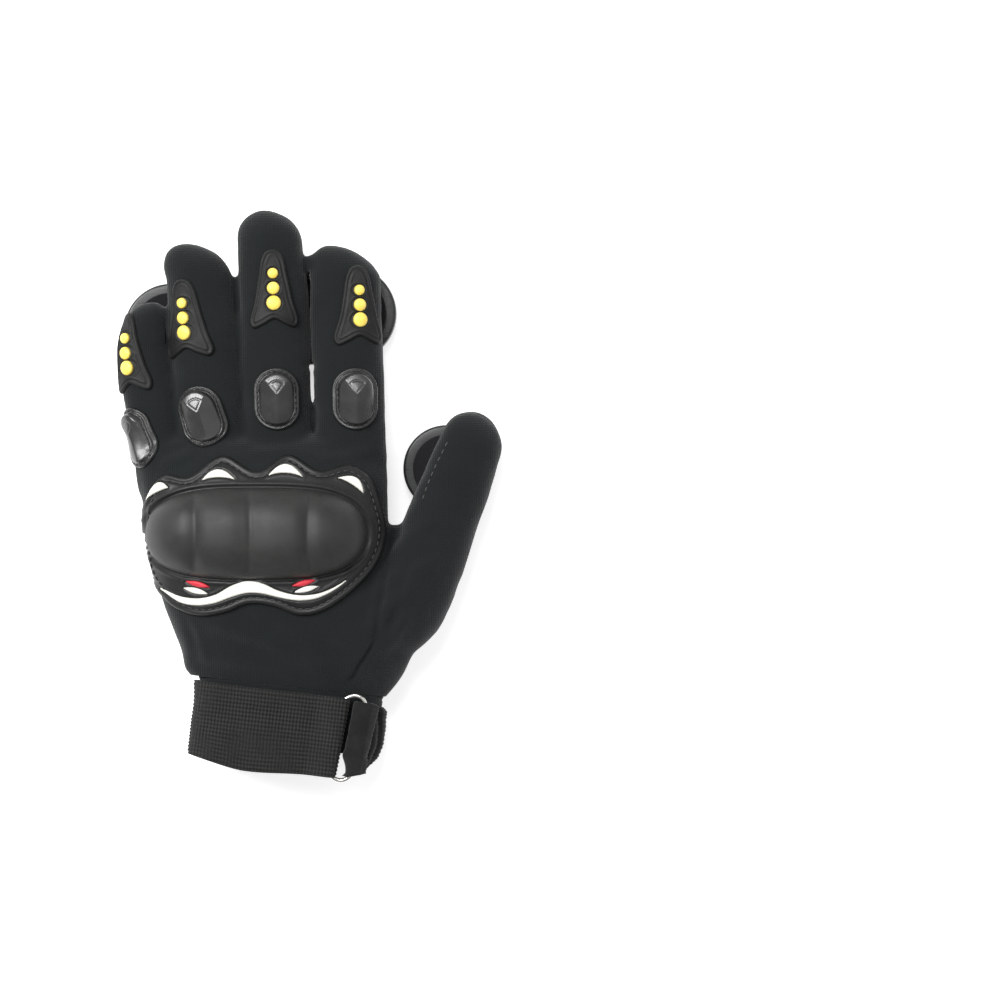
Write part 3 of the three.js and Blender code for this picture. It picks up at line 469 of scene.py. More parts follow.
def finger_loft(finger):
    length = finger["length"] * FINGER_LENGTH
    width = finger["width"] * FINGER_WIDTH
    tip = width / 2
    drop = SEAM_LEVEL - PALM_LEVEL
    rise = finger["deep"] * FINGER_DEPTH - drop
    table = np.array(FINGER_BODY)
    places = np.linspace(0, 1, 26)
    rows = [(share * (length - tip), 0, 0, tip * wide, rise * deep, drop * deep)
            for share, (wide, deep) in zip(places, spline(table[:, 0], table[:, 1:], places))]
    rows += tip_rows(rows[-1], tip, finger["lean"] * width)
    return limb_loft(finger_root(finger), -finger["heading"], rows)


def thumb_loft():
    table = np.array(THUMB_SECTIONS, float)
    places = np.linspace(table[0, 0], table[-1, 0], 40)
    rows = []
    for along, (aside, wide, deep, lift) in zip(places, spline(table[:, 0], table[:, 1:], places)):
        depth = deep * THUMB_DEPTH
        level = THUMB_LEVEL + lift * THUMB_DEPTH + THUMB_BELOW * depth
        half = THUMB_WIDTH / 2 * wide
        rows.append((along * THUMB_LENGTH, aside * THUMB_WIDTH, level,
                     half, (1 - THUMB_BELOW) * depth, THUMB_BELOW * depth))
    last = rows[-1]
    rows += tip_rows(last, THUMB_LENGTH - last[0], -last[1])
    root = np.array([THUMB_ROOT[0] * HAND_WIDTH, THUMB_ROOT[1] * HAND_LENGTH, 0.0])
    return limb_loft(root, -THUMB_SPREAD, rows)


def remeshed(form, voxel):
    """Overlapping closed bodies as one even skin."""
    work = linked("work", plain_mesh("work", *form))
    remesh = work.modifiers.new("remesh", "REMESH")
    remesh.mode = "VOXEL"
    remesh.voxel_size = voxel * MM
    graph = bpy.context.evaluated_depsgraph_get()
    mesh = bpy.data.meshes.new_from_object(work.evaluated_get(graph))
    arrays = mesh_arrays(mesh)
    bpy.data.objects.remove(work)
    bpy.data.meshes.remove(mesh)
    return arrays


# Materials. Pitch of the strap's ribs and rows, in its weave and in its mesh
RIB_PITCH = 1.36
ROW_PITCH = 1.6
# Part of a texture's values that is used, and the wave texture's scale for one band in 1 unit
MIDDLE_RANGE = (0.3, 0.7)
BAND_SCALE = 0.314


def node(tree, kind, links=None, **settings):
    """A shader node with its settings, plain values and linked inputs."""
    made = tree.nodes.new(kind)
    for key, value in settings.items():
        if hasattr(made, key):
            setattr(made, key, value)
        else:
            made.inputs[key.replace("_", " ")].default_value = value
    for key, source in (links or {}).items():
        tree.links.new(source, made.inputs[key])
    return made


def coordinates(tree, size, turn=(0, 0, 0)):
    """Object coordinates in units of a size in millimetres."""
    sizes = size if hasattr(size, "__len__") else (size,) * 3
    source = node(tree, "ShaderNodeTexCoord").outputs["Object"]
    return node(tree, "ShaderNodeMapping", {"Vector": source}, Rotation=turn,
                Scale=[1 / (MM * one) for one in sizes]).outputs["Vector"]


def noise_of(tree, size, detail=2.0, rough=0.5, turn=(0, 0, 0)):
    return node(tree, "ShaderNodeTexNoise", {"Vector": coordinates(tree, size, turn)},
                Scale=1.0, Detail=detail, Roughness=rough).outputs["Fac"]


def cells_of(tree, size):
    return node(tree, "ShaderNodeTexVoronoi", {"Vector": coordinates(tree, size)},
                Scale=1.0).outputs["Distance"]


def bands_of(tree, size, axis, distortion, turn=(0, 0, 0)):
    """Even bands, one for each length of the size."""
    return node(tree, "ShaderNodeTexWave", {"Vector": coordinates(tree, size, turn)},
                bands_direction=axis, Scale=BAND_SCALE, Distortion=distortion,
                Detail=1.0).outputs["Fac"]


def maths(tree, how, one, two):
    made = node(tree, "ShaderNodeMath", operation=how)
    for index, value in enumerate((one, two)):
        if isinstance(value, (int, float)):
            made.inputs[index].default_value = value
        else:
            tree.links.new(value, made.inputs[index])
    return made.outputs["Value"]


def spread(tree, source, low, high):
    """A texture's middle range as values from low to high."""
    return node(tree, "ShaderNodeMapRange", {"Value": source}, From_Min=MIDDLE_RANGE[0],
                From_Max=MIDDLE_RANGE[1], To_Min=low, To_Max=high).outputs["Result"]


def blended(tree, source, dark, light):
    """A colour between two by a texture."""
    ramp = node(tree, "ShaderNodeValToRGB", {"Fac": source})
    for element, position, colour in zip(ramp.color_ramp.elements, MIDDLE_RANGE, (dark, light)):
        element.position = position
        element.color = (*colour, 1)
    return ramp.outputs["Color"]


def summed(tree, *terms):
    """The sum of textures, each with its share."""
    parts = [source if share == 1 else maths(tree, "MULTIPLY", source, share)
             for source, share in terms]
    total = parts[0]
    for part in parts[1:]:
        total = maths(tree, "ADD", total, part)
    return total


def new_tree(name):
    made = bpy.data.materials.new(name)
    made.use_nodes = True
    return made, made.node_tree


def finished(made, colour, rough, height, depth, specular, **constants):
    """Links the textures to the shader: height is a bump of some millimetres."""
    tree = made.node_tree
    shader = tree.nodes["Principled BSDF"]
    tree.links.new(colour, shader.inputs["Base Color"])
    tree.links.new(rough, shader.inputs["Roughness"])
    bumped = node(tree, "ShaderNodeBump", {"Height": height}, Distance=depth * MM, Strength=1.0)
    tree.links.new(bumped.outputs["Normal"], shader.inputs["Normal"])
    shader.inputs["Specular IOR Level"].default_value = specular
    for key, value in constants.items():
        shader.inputs[key.replace("_", " ")].default_value = value
    return made


def knit_material():
    made, tree = new_tree("knit")
    wales = bands_of(tree, 0.9, "X", 1.2)
    courses = bands_of(tree, 0.7, "Y", 1.2)
    grain = noise_of(tree, 0.5, 3, 0.6)
    cloud = noise_of(tree, 16, 3, 0.6)
    height = summed(tree, (maths(tree, "MULTIPLY", wales, courses), 1), (grain, 0.8))
    colour = blended(tree, summed(tree, (cloud, 0.7), (grain, 0.3)),
                     (0.0046, 0.0060, 0.0064), (0.0096, 0.0118, 0.0126))
    return finished(made, colour, spread(tree, cloud, 0.86, 0.98), height, 0.14, 0.22,
                    Sheen_Weight=0.12, Sheen_Roughness=0.5)


def palm_material():
    made, tree = new_tree("palm_fabric")
    cloud = noise_of(tree, 12, 3, 0.6)
    height = summed(tree, (noise_of(tree, 0.4, 4, 0.65), 1), (cells_of(tree, 0.6), 0.5))
    colour = blended(tree, cloud, (0.012, 0.0135, 0.016), (0.024, 0.026, 0.029))
    return finished(made, colour, spread(tree, cloud, 0.78, 0.95), height, 0.1, 0.3,
                    Sheen_Weight=0.12, Sheen_Roughness=0.5)


def webbing_material():
    made, tree = new_tree("webbing")
    turn = (0, 0, math.radians(-WRIST_TURN))
    yarn = bands_of(tree, 0.45, "X", 0.8, turn)
    columns = bands_of(tree, RIB_PITCH, "X", 1.4, turn)
    rows = bands_of(tree, ROW_PITCH, "Y", 1.4, turn)
    fibre = noise_of(tree, (2.5, 0.25, 0.25), 3, 0.6, turn)
    cloud = noise_of(tree, 9, 3, 0.6)
    weave = summed(tree, (columns, 0.66), (rows, 0.34))
    colour = blended(tree, summed(tree, (cloud, 0.4), (weave, 0.6)),
                     (0.0055, 0.0057, 0.0053), (0.0225, 0.023, 0.0216))
    return finished(made, colour, spread(tree, fibre, 0.7, 0.9), summed(tree, (yarn, 0.6), (fibre, 1)),
                    0.12, 0.3, Sheen_Weight=0.1, Sheen_Roughness=0.4)


def velvet_material():
    made, tree = new_tree("velvet_fold")
    cloud = noise_of(tree, 7, 3, 0.6)
    colour = blended(tree, cloud, (0.007, 0.0074, 0.0074), (0.016, 0.0168, 0.0165))
    return finished(made, colour, spread(tree, cloud, 0.85, 1.0), noise_of(tree, 0.35, 4, 0.7), 0.15,
                    0.15, Sheen_Weight=0.12, Sheen_Roughness=0.5)


def moulded_material(name, dark, light, rough, depth, specular, size=0.55, coat=0.0):
    """Moulded synthetic with a fine grain and slow changes of gloss."""
    made, tree = new_tree(name)
    cloud = noise_of(tree, 8, 4, 0.6)
    height = summed(tree, (cells_of(tree, size), 1), (noise_of(tree, 0.3, 3, 0.6), 0.6))
    return finished(made, blended(tree, cloud, dark, light),
                    spread(tree, cloud, rough - 0.06, rough + 0.08), height, depth, specular,
                    Coat_Weight=coat, Coat_Roughness=0.25)


def puck_material():
    made, tree = new_tree("puck")
    scuff = noise_of(tree, (9, 0.7, 9), 5, 0.65, (0.2, 0.1, 0.6))
    cloud = noise_of(tree, 11, 4, 0.6)
    height = summed(tree, (scuff, 0.7), (noise_of(tree, 0.5, 3, 0.6), 0.5))
    colour = blended(tree, summed(tree, (cloud, 0.6), (scuff, 0.4)),
                     (0.012, 0.0132, 0.0135), (0.024, 0.026, 0.027))
    return finished(made, colour, spread(tree, scuff, 0.24, 0.42), height, 0.035, 0.5)


def hook_material():
    made, tree = new_tree("hook_pile")
    fibre = noise_of(tree, 0.25, 3, 0.7)
    colour = blended(tree, fibre, (0.007, 0.007, 0.008), (0.018, 0.018, 0.020))
    return finished(made, colour, spread(tree, fibre, 0.8, 1.0),
                    summed(tree, (cells_of(tree, 0.7), 1), (fibre, 1)), 0.25, 0.2)


def rubber_material(name, dark, light, cloud=(4, 3, 0.6), rough=(0.36, 0.5), fine=(0.4, 2),
                    depth=0.015, specular=0.4):
    """Coloured soft rubber, as of the inlays, the studs and the dots of the palm."""
    made, tree = new_tree(name)
    tone = noise_of(tree, *cloud)
    return finished(made, blended(tree, tone, dark, light), spread(tree, tone, *rough),
                    noise_of(tree, *fine), depth, specular)


def metal_material():
    made, tree = new_tree("ring_metal")
    scratch = noise_of(tree, (0.3, 4, 0.3), 4, 0.6)
    colour = blended(tree, noise_of(tree, 5, 3), (0.55, 0.54, 0.52), (0.78, 0.77, 0.74))
    return finished(made, colour, spread(tree, scratch, 0.16, 0.3), scratch, 0.01, 0.5, Metallic=1.0)


def thread_material(name, dark, light):
    made, tree = new_tree(name)
    fibre = noise_of(tree, 0.3, 3)
    return finished(made, blended(tree, fibre, dark, light), spread(tree, fibre, 0.6, 0.8),
                    bands_of(tree, 0.35, "DIAGONAL", 0.5), 0.05, 0.3)


KNIT = knit_material()
PALM = palm_material()
DOTS = rubber_material("silicone_dots", (0.06, 0.065, 0.07), (0.13, 0.14, 0.15),
                       (3, 2), (0.3, 0.45), (0.3,), 0.01, 0.6)
WEBBING = webbing_material()
VELVET = velvet_material()
MOULDED = moulded_material("moulded", (0.0058, 0.0064, 0.006), (0.0116, 0.0124, 0.0117),
                           0.55, 0.05, 0.28)
FLANGE = moulded_material("guard_flange", (0.0056, 0.0062, 0.0058), (0.0112, 0.012, 0.0114),
                          0.5, 0.04, 0.32, 0.5, 0.1)
WELT = moulded_material("pad_welt", (0.0085, 0.009, 0.0087), (0.016, 0.0168, 0.016),
                        0.4, 0.04, 0.45, 0.55, 0.3)
HUMP = moulded_material("hump", (0.0145, 0.0157, 0.0142), (0.0215, 0.023, 0.0208), 0.54, 0.02, 0.4)
GLOSS = moulded_material("gloss_cap", (0.0155, 0.0162, 0.0157), (0.026, 0.0272, 0.026),
                         0.26, 0.008, 0.6, 0.5, 0.3)
PUCK = puck_material()
HOOK = hook_material()
PALE = rubber_material("pale_inlay", (0.76, 0.75, 0.68), (0.86, 0.85, 0.79))
RED = rubber_material("red_inlay", (0.5, 0.02, 0.035), (0.62, 0.035, 0.055))
YELLOW = rubber_material("yellow_stud", (0.86, 0.62, 0.09), (0.96, 0.76, 0.17))
METAL = metal_material()
THREAD = thread_material("dark_thread", (0.03, 0.03, 0.032), (0.06, 0.06, 0.063))
PALE_THREAD = thread_material("pale_thread", (0.045, 0.047, 0.047), (0.085, 0.087, 0.085))


# Knuckle guard
GUARD_PLACE = (-0.012, 0.004)
GUARD_OUTLINE = (
    (-0.498, 0.125), (-0.486, 0.206), (-0.405, 0.375), (-0.306, 0.36), (-0.165, 0.494), (-0.02, 0.394),
    (0.103, 0.5), (0.235, 0.4), (0.351, 0.4375), (0.434, 0.3625), (0.483, 0.1875), (0.502, 0.02),
    (0.463, -0.181), (0.36, -0.356), (0.227, -0.481), (0.145, -0.494), (0.04, -0.437), (-0.058, -0.425),
    (-0.145, -0.475), (-0.256, -0.5), (-0.36, -0.45), (-0.425, -0.36), (-0.475, -0.25), (-0.5, -0.05),
)
HUMP_MIDDLE = (-0.026, 0.01)
HUMP_WIDTH = 87.4
HUMP_LENGTH = 36.0
HUMP_HEIGHT = 11.0
# Sewn channel of the flange, and how far under its top the inlays and the hump begin
GUARD_CHANNEL = 2.5
INLAY_SINK = 0.75
HUMP_SINK = 0.6
# Lines along its lower right edge
SHORES = (4.6, 5.9, 7.2)
# Cells of the meshes
GUARD_CELL = 0.5
INLAY_CELL = 0.28
HUMP_CELL = 0.55
# Grooves of the hump: place across it, width, depth
HUMP_GROOVES = ((-0.264, 3.2, 1.25), (-0.02, 6.0, 1.5), (0.232, 3.0, 1.25))
# Crescents: left end, crown, right end, hollow
CRESCENTS = {
    "pinky": ((-0.474, 0.212), (-0.43, 0.322), (-0.381, 0.292), (-0.444, 0.252)),
    "ring": ((-0.247, 0.333), (-0.181, 0.402), (-0.11, 0.338), (-0.181, 0.352)),
    "middle": ((0.024, 0.362), (0.096, 0.434), (0.165, 0.354), (0.096, 0.379)),
    "index": ((0.306, 0.35), (0.38, 0.352), (0.407, 0.256), (0.357, 0.315)),
}
# Wave: x, upper edge, lower edge
WAVE = (
    (-0.41, -0.322, -0.33), (-0.33, -0.375, -0.413), (-0.264, -0.387, -0.431), (-0.186, -0.363, -0.415),
    (-0.124, -0.31, -0.381), (-0.062, -0.281, -0.356), (0.0, -0.294, -0.359), (0.062, -0.337, -0.381),
    (0.153, -0.369, -0.403), (0.236, -0.356, -0.384), (0.298, -0.316, -0.334), (0.339, -0.277, -0.284),
)
# Leaves: half length and half width, then x, y and turn of each
LEAF_HALF = (5.0, 1.15)
LEAVES = {
    "red_left": (-0.26, -0.3, -14),
    "pale_left": (-0.268, -0.341, -14),
    "red_right": (0.17, -0.294, 14),
    "pale_right": (0.18, -0.333, 14),
}


def guard_points(table):
    middle = np.array([GUARD_PLACE[0] * HAND_WIDTH, GUARD_PLACE[1] * HAND_LENGTH])
    return middle + np.asarray(table) * [GUARD_WIDTH, GUARD_LENGTH]


GUARD_EDGE = closed_curve(guard_points(GUARD_OUTLINE), 320)


def arc_through(start, crown, end, count=24):
    control = 2 * crown - (start + end) / 2
    t = np.linspace(0, 1, count)[:, None]
    return (1 - t) ** 2 * start + 2 * t * (1 - t) * control + t ** 2 * end


def crescent_outline(row):
    start, crown, end, hollow = guard_points(row)
    outer = arc_through(start, crown, end)
    inner = arc_through(end, hollow, start)
    return np.concatenate([outer[:-1], inner[:-1]])


def wave_outline():
    table = np.array(WAVE)
    places = np.linspace(table[0, 0], table[-1, 0], 90)
    edges = spline(table[:, 0], table[:, 1:], places)
    upper = guard_points(np.stack([places, edges[:, 0]], 1))
    lower = guard_points(np.stack([places, edges[:, 1]], 1))
    return np.concatenate([upper, lower[::-1]])


def leaf_outline(row):
    middle = guard_points([row[:2]])[0]
    along = across_at(row[2])[:2] * LEAF_HALF[0]
    bulge = across_at(row[2] + 90)[:2] * LEAF_HALF[1]
    outer = arc_through(middle - along, middle + bulge, middle + along)
    inner = arc_through(middle + along, middle - bulge, middle - along)
    return np.concatenate([outer[:-1], inner[:-1]])


INLAY_EDGES = {"crescent_" + name: crescent_outline(row) for name, row in CRESCENTS.items()}
INLAY_EDGES["wave"] = wave_outline()
INLAY_EDGES.update({"leaf_" + name: leaf_outline(row) for name, row in LEAVES.items()})


def hump_outline():
    middle = guard_points([HUMP_MIDDLE])[0]
    turn = full_turn(200)
    x = powered(np.cos(turn), 2 / 3.4)
    y = powered(np.sin(turn), 2 / 2.3)
    return middle + np.stack([x * HUMP_WIDTH / 2, y * HUMP_LENGTH / 2], 1)


HUMP_EDGE = hump_outline()


def guard_top(depth, x, y):
    """Height of the guard's flange: round edge, sewn channel, shore lines and beds of the inlays."""
    points = np.stack([x, y], 1)
    height = rounded_edge(depth, GUARD_THICKNESS - 0.5, 1.1)
    height -= 0.55 * bump(depth, GUARD_CHANNEL, 0.55)
    height += 0.25 * smooth_step((depth - 3.1) / 0.7)
    lower = smooth_step((-y - 6) / 8) * smooth_step((x - 4) / 12)
    for shore in SHORES:
        height += 0.5 * bump(depth, shore, 0.32) * lower
    for edge in INLAY_EDGES.values():
        away = inside_distance(points, edge)[0]
        height += 0.3 * bump(away, -0.7, 0.42) - 0.5 * smooth_step((away + 0.35) / 0.4)
    hump = inside_distance(points, HUMP_EDGE)[0]
    height += 0.5 * bump(hump, -1.5, 0.7) - 0.7 * bump(hump, -0.2, 0.6)
    return height


def inlay_top(depth, x, y):
    return 0.35 + rounded_edge(depth, 0.85, 0.8)


def hump_top(depth, x, y):
    middle = guard_points([HUMP_MIDDLE])[0]
    share = np.clip(depth / (HUMP_LENGTH / 2), 0, 1)
    height = HUMP_HEIGHT * (1 - (1 - share) ** 2.6) ** (1 / 1.7)
    across = (x - middle[0]) / HUMP_WIDTH
    bend = 1.3 * ((y - middle[1]) / (HUMP_LENGTH / 2)) ** 2
    for place, wide, deep in HUMP_GROOVES:
        away = (across - place) * HUMP_WIDTH - np.sign(place) * bend
        groove = 0.35 * bump(away, 0, 1.1) + bump(away, 0, wide)
        height -= deep * groove * smooth_step(share / 0.25)
    return np.maximum(height, 0.1)


def build_guard(bed):
    top_level = GAP + GUARD_THICKNESS
    base = laid_piece(GUARD_EDGE, GUARD_CELL, bed, GAP, guard_top, upright=0.5)
    add_piece("knuckle_guard_flange", base, FLANGE, ["guard_base"])
    for name, edge in INLAY_EDGES.items():
        material, kind = (RED, "red_inlay") if "red" in name else (PALE, "pale_inlay")
        form = laid_piece(edge, INLAY_CELL, bed, top_level - INLAY_SINK, inlay_top, upright=0.5)
        add_piece("guard_inlay_" + name, form, material, ["guard_" + name])
    hump = laid_piece(HUMP_EDGE, HUMP_CELL, bed, top_level - HUMP_SINK, hump_top, upright=0.75,
                      fair=3)
    add_piece("knuckle_guard_shell", hump, HUMP, ["guard_hump"])
    return Bed(*base)


# Stitches: length, gap and radius of a thread, and how much of its radius it stands up
THREAD_RISE = 0.75
GUARD_STITCH = (2.0, 0.9, 0.3)
PAD_STITCH = (1.5, 0.75, 0.24)
THUMB_STITCH = (2.0, 1.3, 0.28)
THUMB_LINE = ((62.2, 14.0), (64.6, 21.0), (67.6, 28.0), (70.6, 34.0), (73.0, 39.0))


def capsule(start, end, radius, sides=6):
    """A short round-ended thread between two points."""
    along = end - start
    length = np.linalg.norm(along)
    along = along / length
    rim = rim_round(along, UP if abs(along[2]) < 0.9 else np.array([1.0, 0, 0]), sides)
    rows = ((0.0, 0.3), (0.15, 0.8), (0.35, 1.0), (0.65, 1.0), (0.85, 0.8), (1.0, 0.3))
    return loft([start + along * length * at + rim * radius * wide for at, wide in rows])


def stitches(points, normals, length, gap, radius):
    """Threads along a line on a surface, a little sunk."""
    far = run_length(points)
    parts = []
    place = gap / 2
    while place + length < far[-1]:
        ends = []
        for at in (place, place + length):
            spot = np.array([np.interp(at, far, points[:, axis]) for axis in range(3)])
            out = np.array([np.interp(at, far, normals[:, axis]) for axis in range(3)])
            ends.append(spot + out / np.linalg.norm(out) * radius * THREAD_RISE)
        parts.append(capsule(ends[0], ends[1], radius))
        place += length + gap
    return parts


def line_on(bed, outline, matrix=TOP_VIEW):
    """An outline's points and normals on a bed, seen along the matrix's z axis."""
    places, normals = zip(*(dropped(bed, x, y, matrix) for x, y in outline))
    return np.array(places), np.array(normals)


def inset_outline(outline, depth):
    """An outline moved inwards."""
    along = np.roll(outline, -1, 0) - np.roll(outline, 1, 0)
    inward = np.stack([-along[:, 1], along[:, 0]], 1) / np.linalg.norm(along, axis=1)[:, None]
    if inside_distance(outline[:1] + inward[:1] * 0.2, outline)[0][0] < 0:
        inward = -inward
    return outline + inward * depth


def closed_line(points):
    return np.concatenate([points, points[:1]])


# Fabric. The web between thumb and hand
WEB_ROOT = (42.0, -4.0, 0.0)
WEB_LEVEL = 24.0
WEB_HALF = 8.4
WEB_REACH = 18.0
# Middle and size of the hollow beside the heel of the hand that is rounded off
HEEL_HOLLOW = (67.0, -40.0)
HEEL_HALF = 13
# Edge of the cells of the skin, and the rounds that even it out
VOXEL = 1.1
SKIN_ROUNDS = 6
HEEL_ROUNDS = 90
# How far each half stops from the seam
SEAM_GAP = 0.1
# Ways between two fingers: how wide they are felt, then x, low y, high y and width added on each
# side; SLITS before the bodies are joined, TOUCHES after
SLIT_HALF = 4.0
SLIT_REACH = 8
SLITS = (
    (17.9, 50.0, 69.0, 0.75),
    (17.4, 103.0, 130.0, 1.1),
)
TOUCHES = (
    (17.6, 50.0, 69.0, -1.5),
    (17.4, 67.0, 107.0, -1.35),
    (-41.0, 76.0, 92.0, -0.8),
)
# Fitting of the left edge: y, half length, inner x, push to the right
LEFT_EDGE = (
    (83.0, 5.5, -47.0, 2.8),
    (40.0, 8.0, -44.0, 1.8),
    (-53.5, 4.5, -20.0, -2.4),
)
# Slow swells of the cloth: size, shift, height
CLOTH_NOISE = ((17.0, (0, 0, 0), 0.45), (7.0, (5, 1, 3), 0.25), (2.6, (0, 0, 0), 0.05))
# How free the cloth is to fold under the guard
GUARDED_SHARE = 0.12
# Folds on the back: start, end, half width, height
FOLDS = (
    ((-22, -34), (8, -44), 3.2, 0.7),
    ((2, -36), (38, -41), 3.0, 0.6),
    ((-30, -46), (10, -54), 3.4, 0.5),
    ((14, -50), (44, -56), 3.0, 0.5),
    ((40, -38), (62, -16), 3.0, 0.8),
    ((46, -46), (58, -30), 2.6, 0.7),
    ((50, -6), (66, 6), 2.6, 0.5),
    ((52, -18), (70, -8), 2.8, 0.6),
    ((-42, 28), (-30, 33), 2.2, 0.4),
    ((-8, 33), (18, 34), 2.2, 0.4),
    ((22, 30), (42, 34), 2.2, 0.4),
    ((48, -12), (43.5, -40), 1.4, -1.1),
    ((43.5, -42), (33.5, -58), 1.2, -1.4),
    ((57, -10), (49, -40), 1.8, -0.5),
    ((-33, -28), (-26, -52), 1.8, -0.35),
)


def web_loft():
    """The fabric between the thumb's root and the hand."""
    rows = [(along, 0, WEB_LEVEL, WEB_HALF, 9, 8) for along in np.linspace(0, WEB_REACH, 6)]
    return limb_loft(np.array(WEB_ROOT), -90, rows)


def softened(verts, pairs):
    """The hollow beside the heel of the hand, rounded off."""
    away = np.linalg.norm(verts[:, :2] - HEEL_HOLLOW, axis=1)
    share = bump(away, 0, HEEL_HALF)[:, None]
    return verts * (1 - share) + relaxed(verts, pairs, HEEL_ROUNDS) * share


def fabric_skin():
    """The outer skin of hand, fingers and thumb, with the folds of the fabric."""
    lofts = [hand_loft(), thumb_loft(), web_loft()] + [finger_loft(finger) for finger in FINGERS]
    verts, faces = joined(lofts)
    for slit in SLITS:
        verts = parted(verts, *slit)
    verts, faces = remeshed((verts, faces), VOXEL)
    pairs = edge_pairs(faces)
    verts = softened(relaxed(verts, pairs, SKIN_ROUNDS), pairs)
    normals = point_normals(verts, faces)
    verts = verts + normals * (fold_height(verts, normals) * calm(verts))[:, None]
    verts = relaxed(verts, pairs, 1)
    for touch in TOUCHES:
        verts = parted(verts, *touch)
    for y, half, inner, push in LEFT_EDGE:
        share = bump(verts[:, 1], y, half) * smooth_step((inner - verts[:, 0]) / 8)
        verts[:, 0] += push * share
    return verts, faces


def parted(verts, x, low, high, width):
    """Two fingers pushed apart by a width on each side of x, or together where it is negative."""
    y = verts[:, 1]
    away = verts[:, 0] - x
    along = smooth_step((y - low) / 4) * smooth_step((high - y) / 4)
    near = bump(away, 0, SLIT_HALF) * np.where(np.abs(away) < SLIT_REACH, 1, 0)
    verts = verts.copy()
    verts[:, 0] += np.sign(away) * width * along * near
    return verts


def calm(verts):
    """How free the fabric is to fold: little under the guard, all elsewhere."""
    away = -inside_distance(verts[:, :2], GUARD_EDGE)[0]
    free = smooth_step((away + 1) / 7)
    return np.where(verts[:, 2] > SEAM_LEVEL, np.maximum(free, GUARDED_SHARE), 1.0)


def fold_height(verts, normals):
    height = np.zeros(len(verts))
    for index, place in enumerate(verts.tolist()):
        for size, shift, share in CLOTH_NOISE:
            height[index] += share * noise.noise(Vector(place) / size + Vector(shift))
    flat = verts[:, :2]
    upper = smooth_step((verts[:, 2] - SEAM_LEVEL) / 6)
    for start, end, half, tall in FOLDS:
        start = np.array(start, float)
        along = np.array(end, float) - start
        share = np.clip((flat - start) @ along / (along @ along), -0.2, 1.2)
        away = np.linalg.norm(flat - start - share[:, None] * along, axis=1)
        fade = smooth_step(share / 0.3 + 0.4) * smooth_step((1 - share) / 0.3 + 0.4)
        height += upper * fade * tall * (bump(away, 0, half) - 0.6 * bump(away, 1.7 * half, half))
    steep = smooth_step((0.6 - np.abs(normals[:, 2])) / 0.3)
    return height - 0.6 * bump(verts[:, 2], SEAM_LEVEL, 0.8) * steep


WRIST_ACROSS = across_at(WRIST_TURN)
WRIST_ALONG = across_at(WRIST_TURN + 90)
WRIST_ORIGIN = np.array([WRIST_X, WRIST_Y, SEAM_LEVEL])


def wrist_world(x, y, z):
    """Places in the wrist's own frame, in the model's."""
    x, y, z = (np.asarray(one, float)[..., None] for one in (x, y, z))
    return WRIST_ORIGIN + x * WRIST_ACROSS + y * WRIST_ALONG + z * UP


def cut_half(form, cuts):
    """The part of a mesh in front of some planes, each a point and a direction."""
    mesh = plain_mesh("half", *form)
    work = bmesh.new()
    work.from_mesh(mesh)
    for place, facing in cuts:
        everything = work.verts[:] + work.edges[:] + work.faces[:]
        bmesh.ops.bisect_plane(work, geom=everything, plane_co=Vector(place) * MM,
                               plane_no=Vector(facing), clear_inner=True, dist=1e-6)
    work.to_mesh(mesh)
    work.free()
    arrays = mesh_arrays(mesh)
    bpy.data.meshes.remove(mesh)
    return arrays


def open_edges(faces):
    """Directed edges that only one face has, in the order of the faces."""
    seen = {pair: True for face in faces for pair in zip(face, face[1:] + face[:1])}
    return [pair for pair in seen if (pair[1], pair[0]) not in seen]


def thick_shell(verts, faces, thickness):
    """A skin with an inner side and closed edges."""
    inner = verts - point_normals(verts, faces) * thickness
    count = len(verts)
    sides = [[index + count for index in reversed(face)] for face in faces]
    walls = [[two, one, one + count, two + count] for one, two in open_edges(faces)]
    return np.concatenate([verts, inner]), faces + sides + walls


def build_fabric():
    skin = fabric_skin()
    seam = [0, 0, SEAM_LEVEL]
    wrist = (WRIST_ORIGIN + WRIST_ALONG * 0.2, WRIST_ALONG)
    back = cut_half(skin, [wrist, (seam + SEAM_GAP * UP, UP)])
    palm = cut_half(skin, [wrist, (seam - SEAM_GAP * UP, -UP)])
    add_piece("glove_back", thick_shell(*back, FABRIC), KNIT, ["back_panel"])
    add_piece("glove_palm", thick_shell(*palm, FABRIC), PALM, ["palm_panel"])
    return Bed(*skin)


# Finger patches, studs and knuckle pads
PATCH_LENGTH = 31.6
PATCH_WIDTH = 19.0
PATCH_HALF = (
    (0, 0.5), (0.14, 0.47), (0.23, 0.38), (0.3, 0.16), (0.4, -0.16), (0.5, -0.42), (0.42, -0.5),
    (0.2, -0.45), (0, -0.39),
)
STUD_HEIGHT = 1.6
# Stud number, place along the patch, diameter
STUDS = ((1, 6.0, 4.2), (2, 0.1, 5.0), (3, -5.8, 5.8))
PAD_LENGTH = 25.0
PAD_WIDTH = 17.6
PAD_THICKNESS = 1.6
CAP_LENGTH = 21.0
CAP_WIDTH = 13.4
CAP_HEIGHT = 5.0
CAP_SINK = 0.6
PAD_CHANNEL = 1.35
TRIM_CELL = 0.36
CAP_CELL = 0.3


def turned(degrees, axis):
    c = math.cos(math.radians(degrees))
    s = math.sin(math.radians(degrees))
    matrix = np.eye(4)
    one, two = {"z": (0, 1), "y": (2, 0)}[axis]
    matrix[one, one] = matrix[two, two] = c
    matrix[two, one] = s
    matrix[one, two] = -s
    return matrix


def moved(x, y, z):
    matrix = np.eye(4)
    matrix[:3, 3] = (x, y, z)
    return matrix


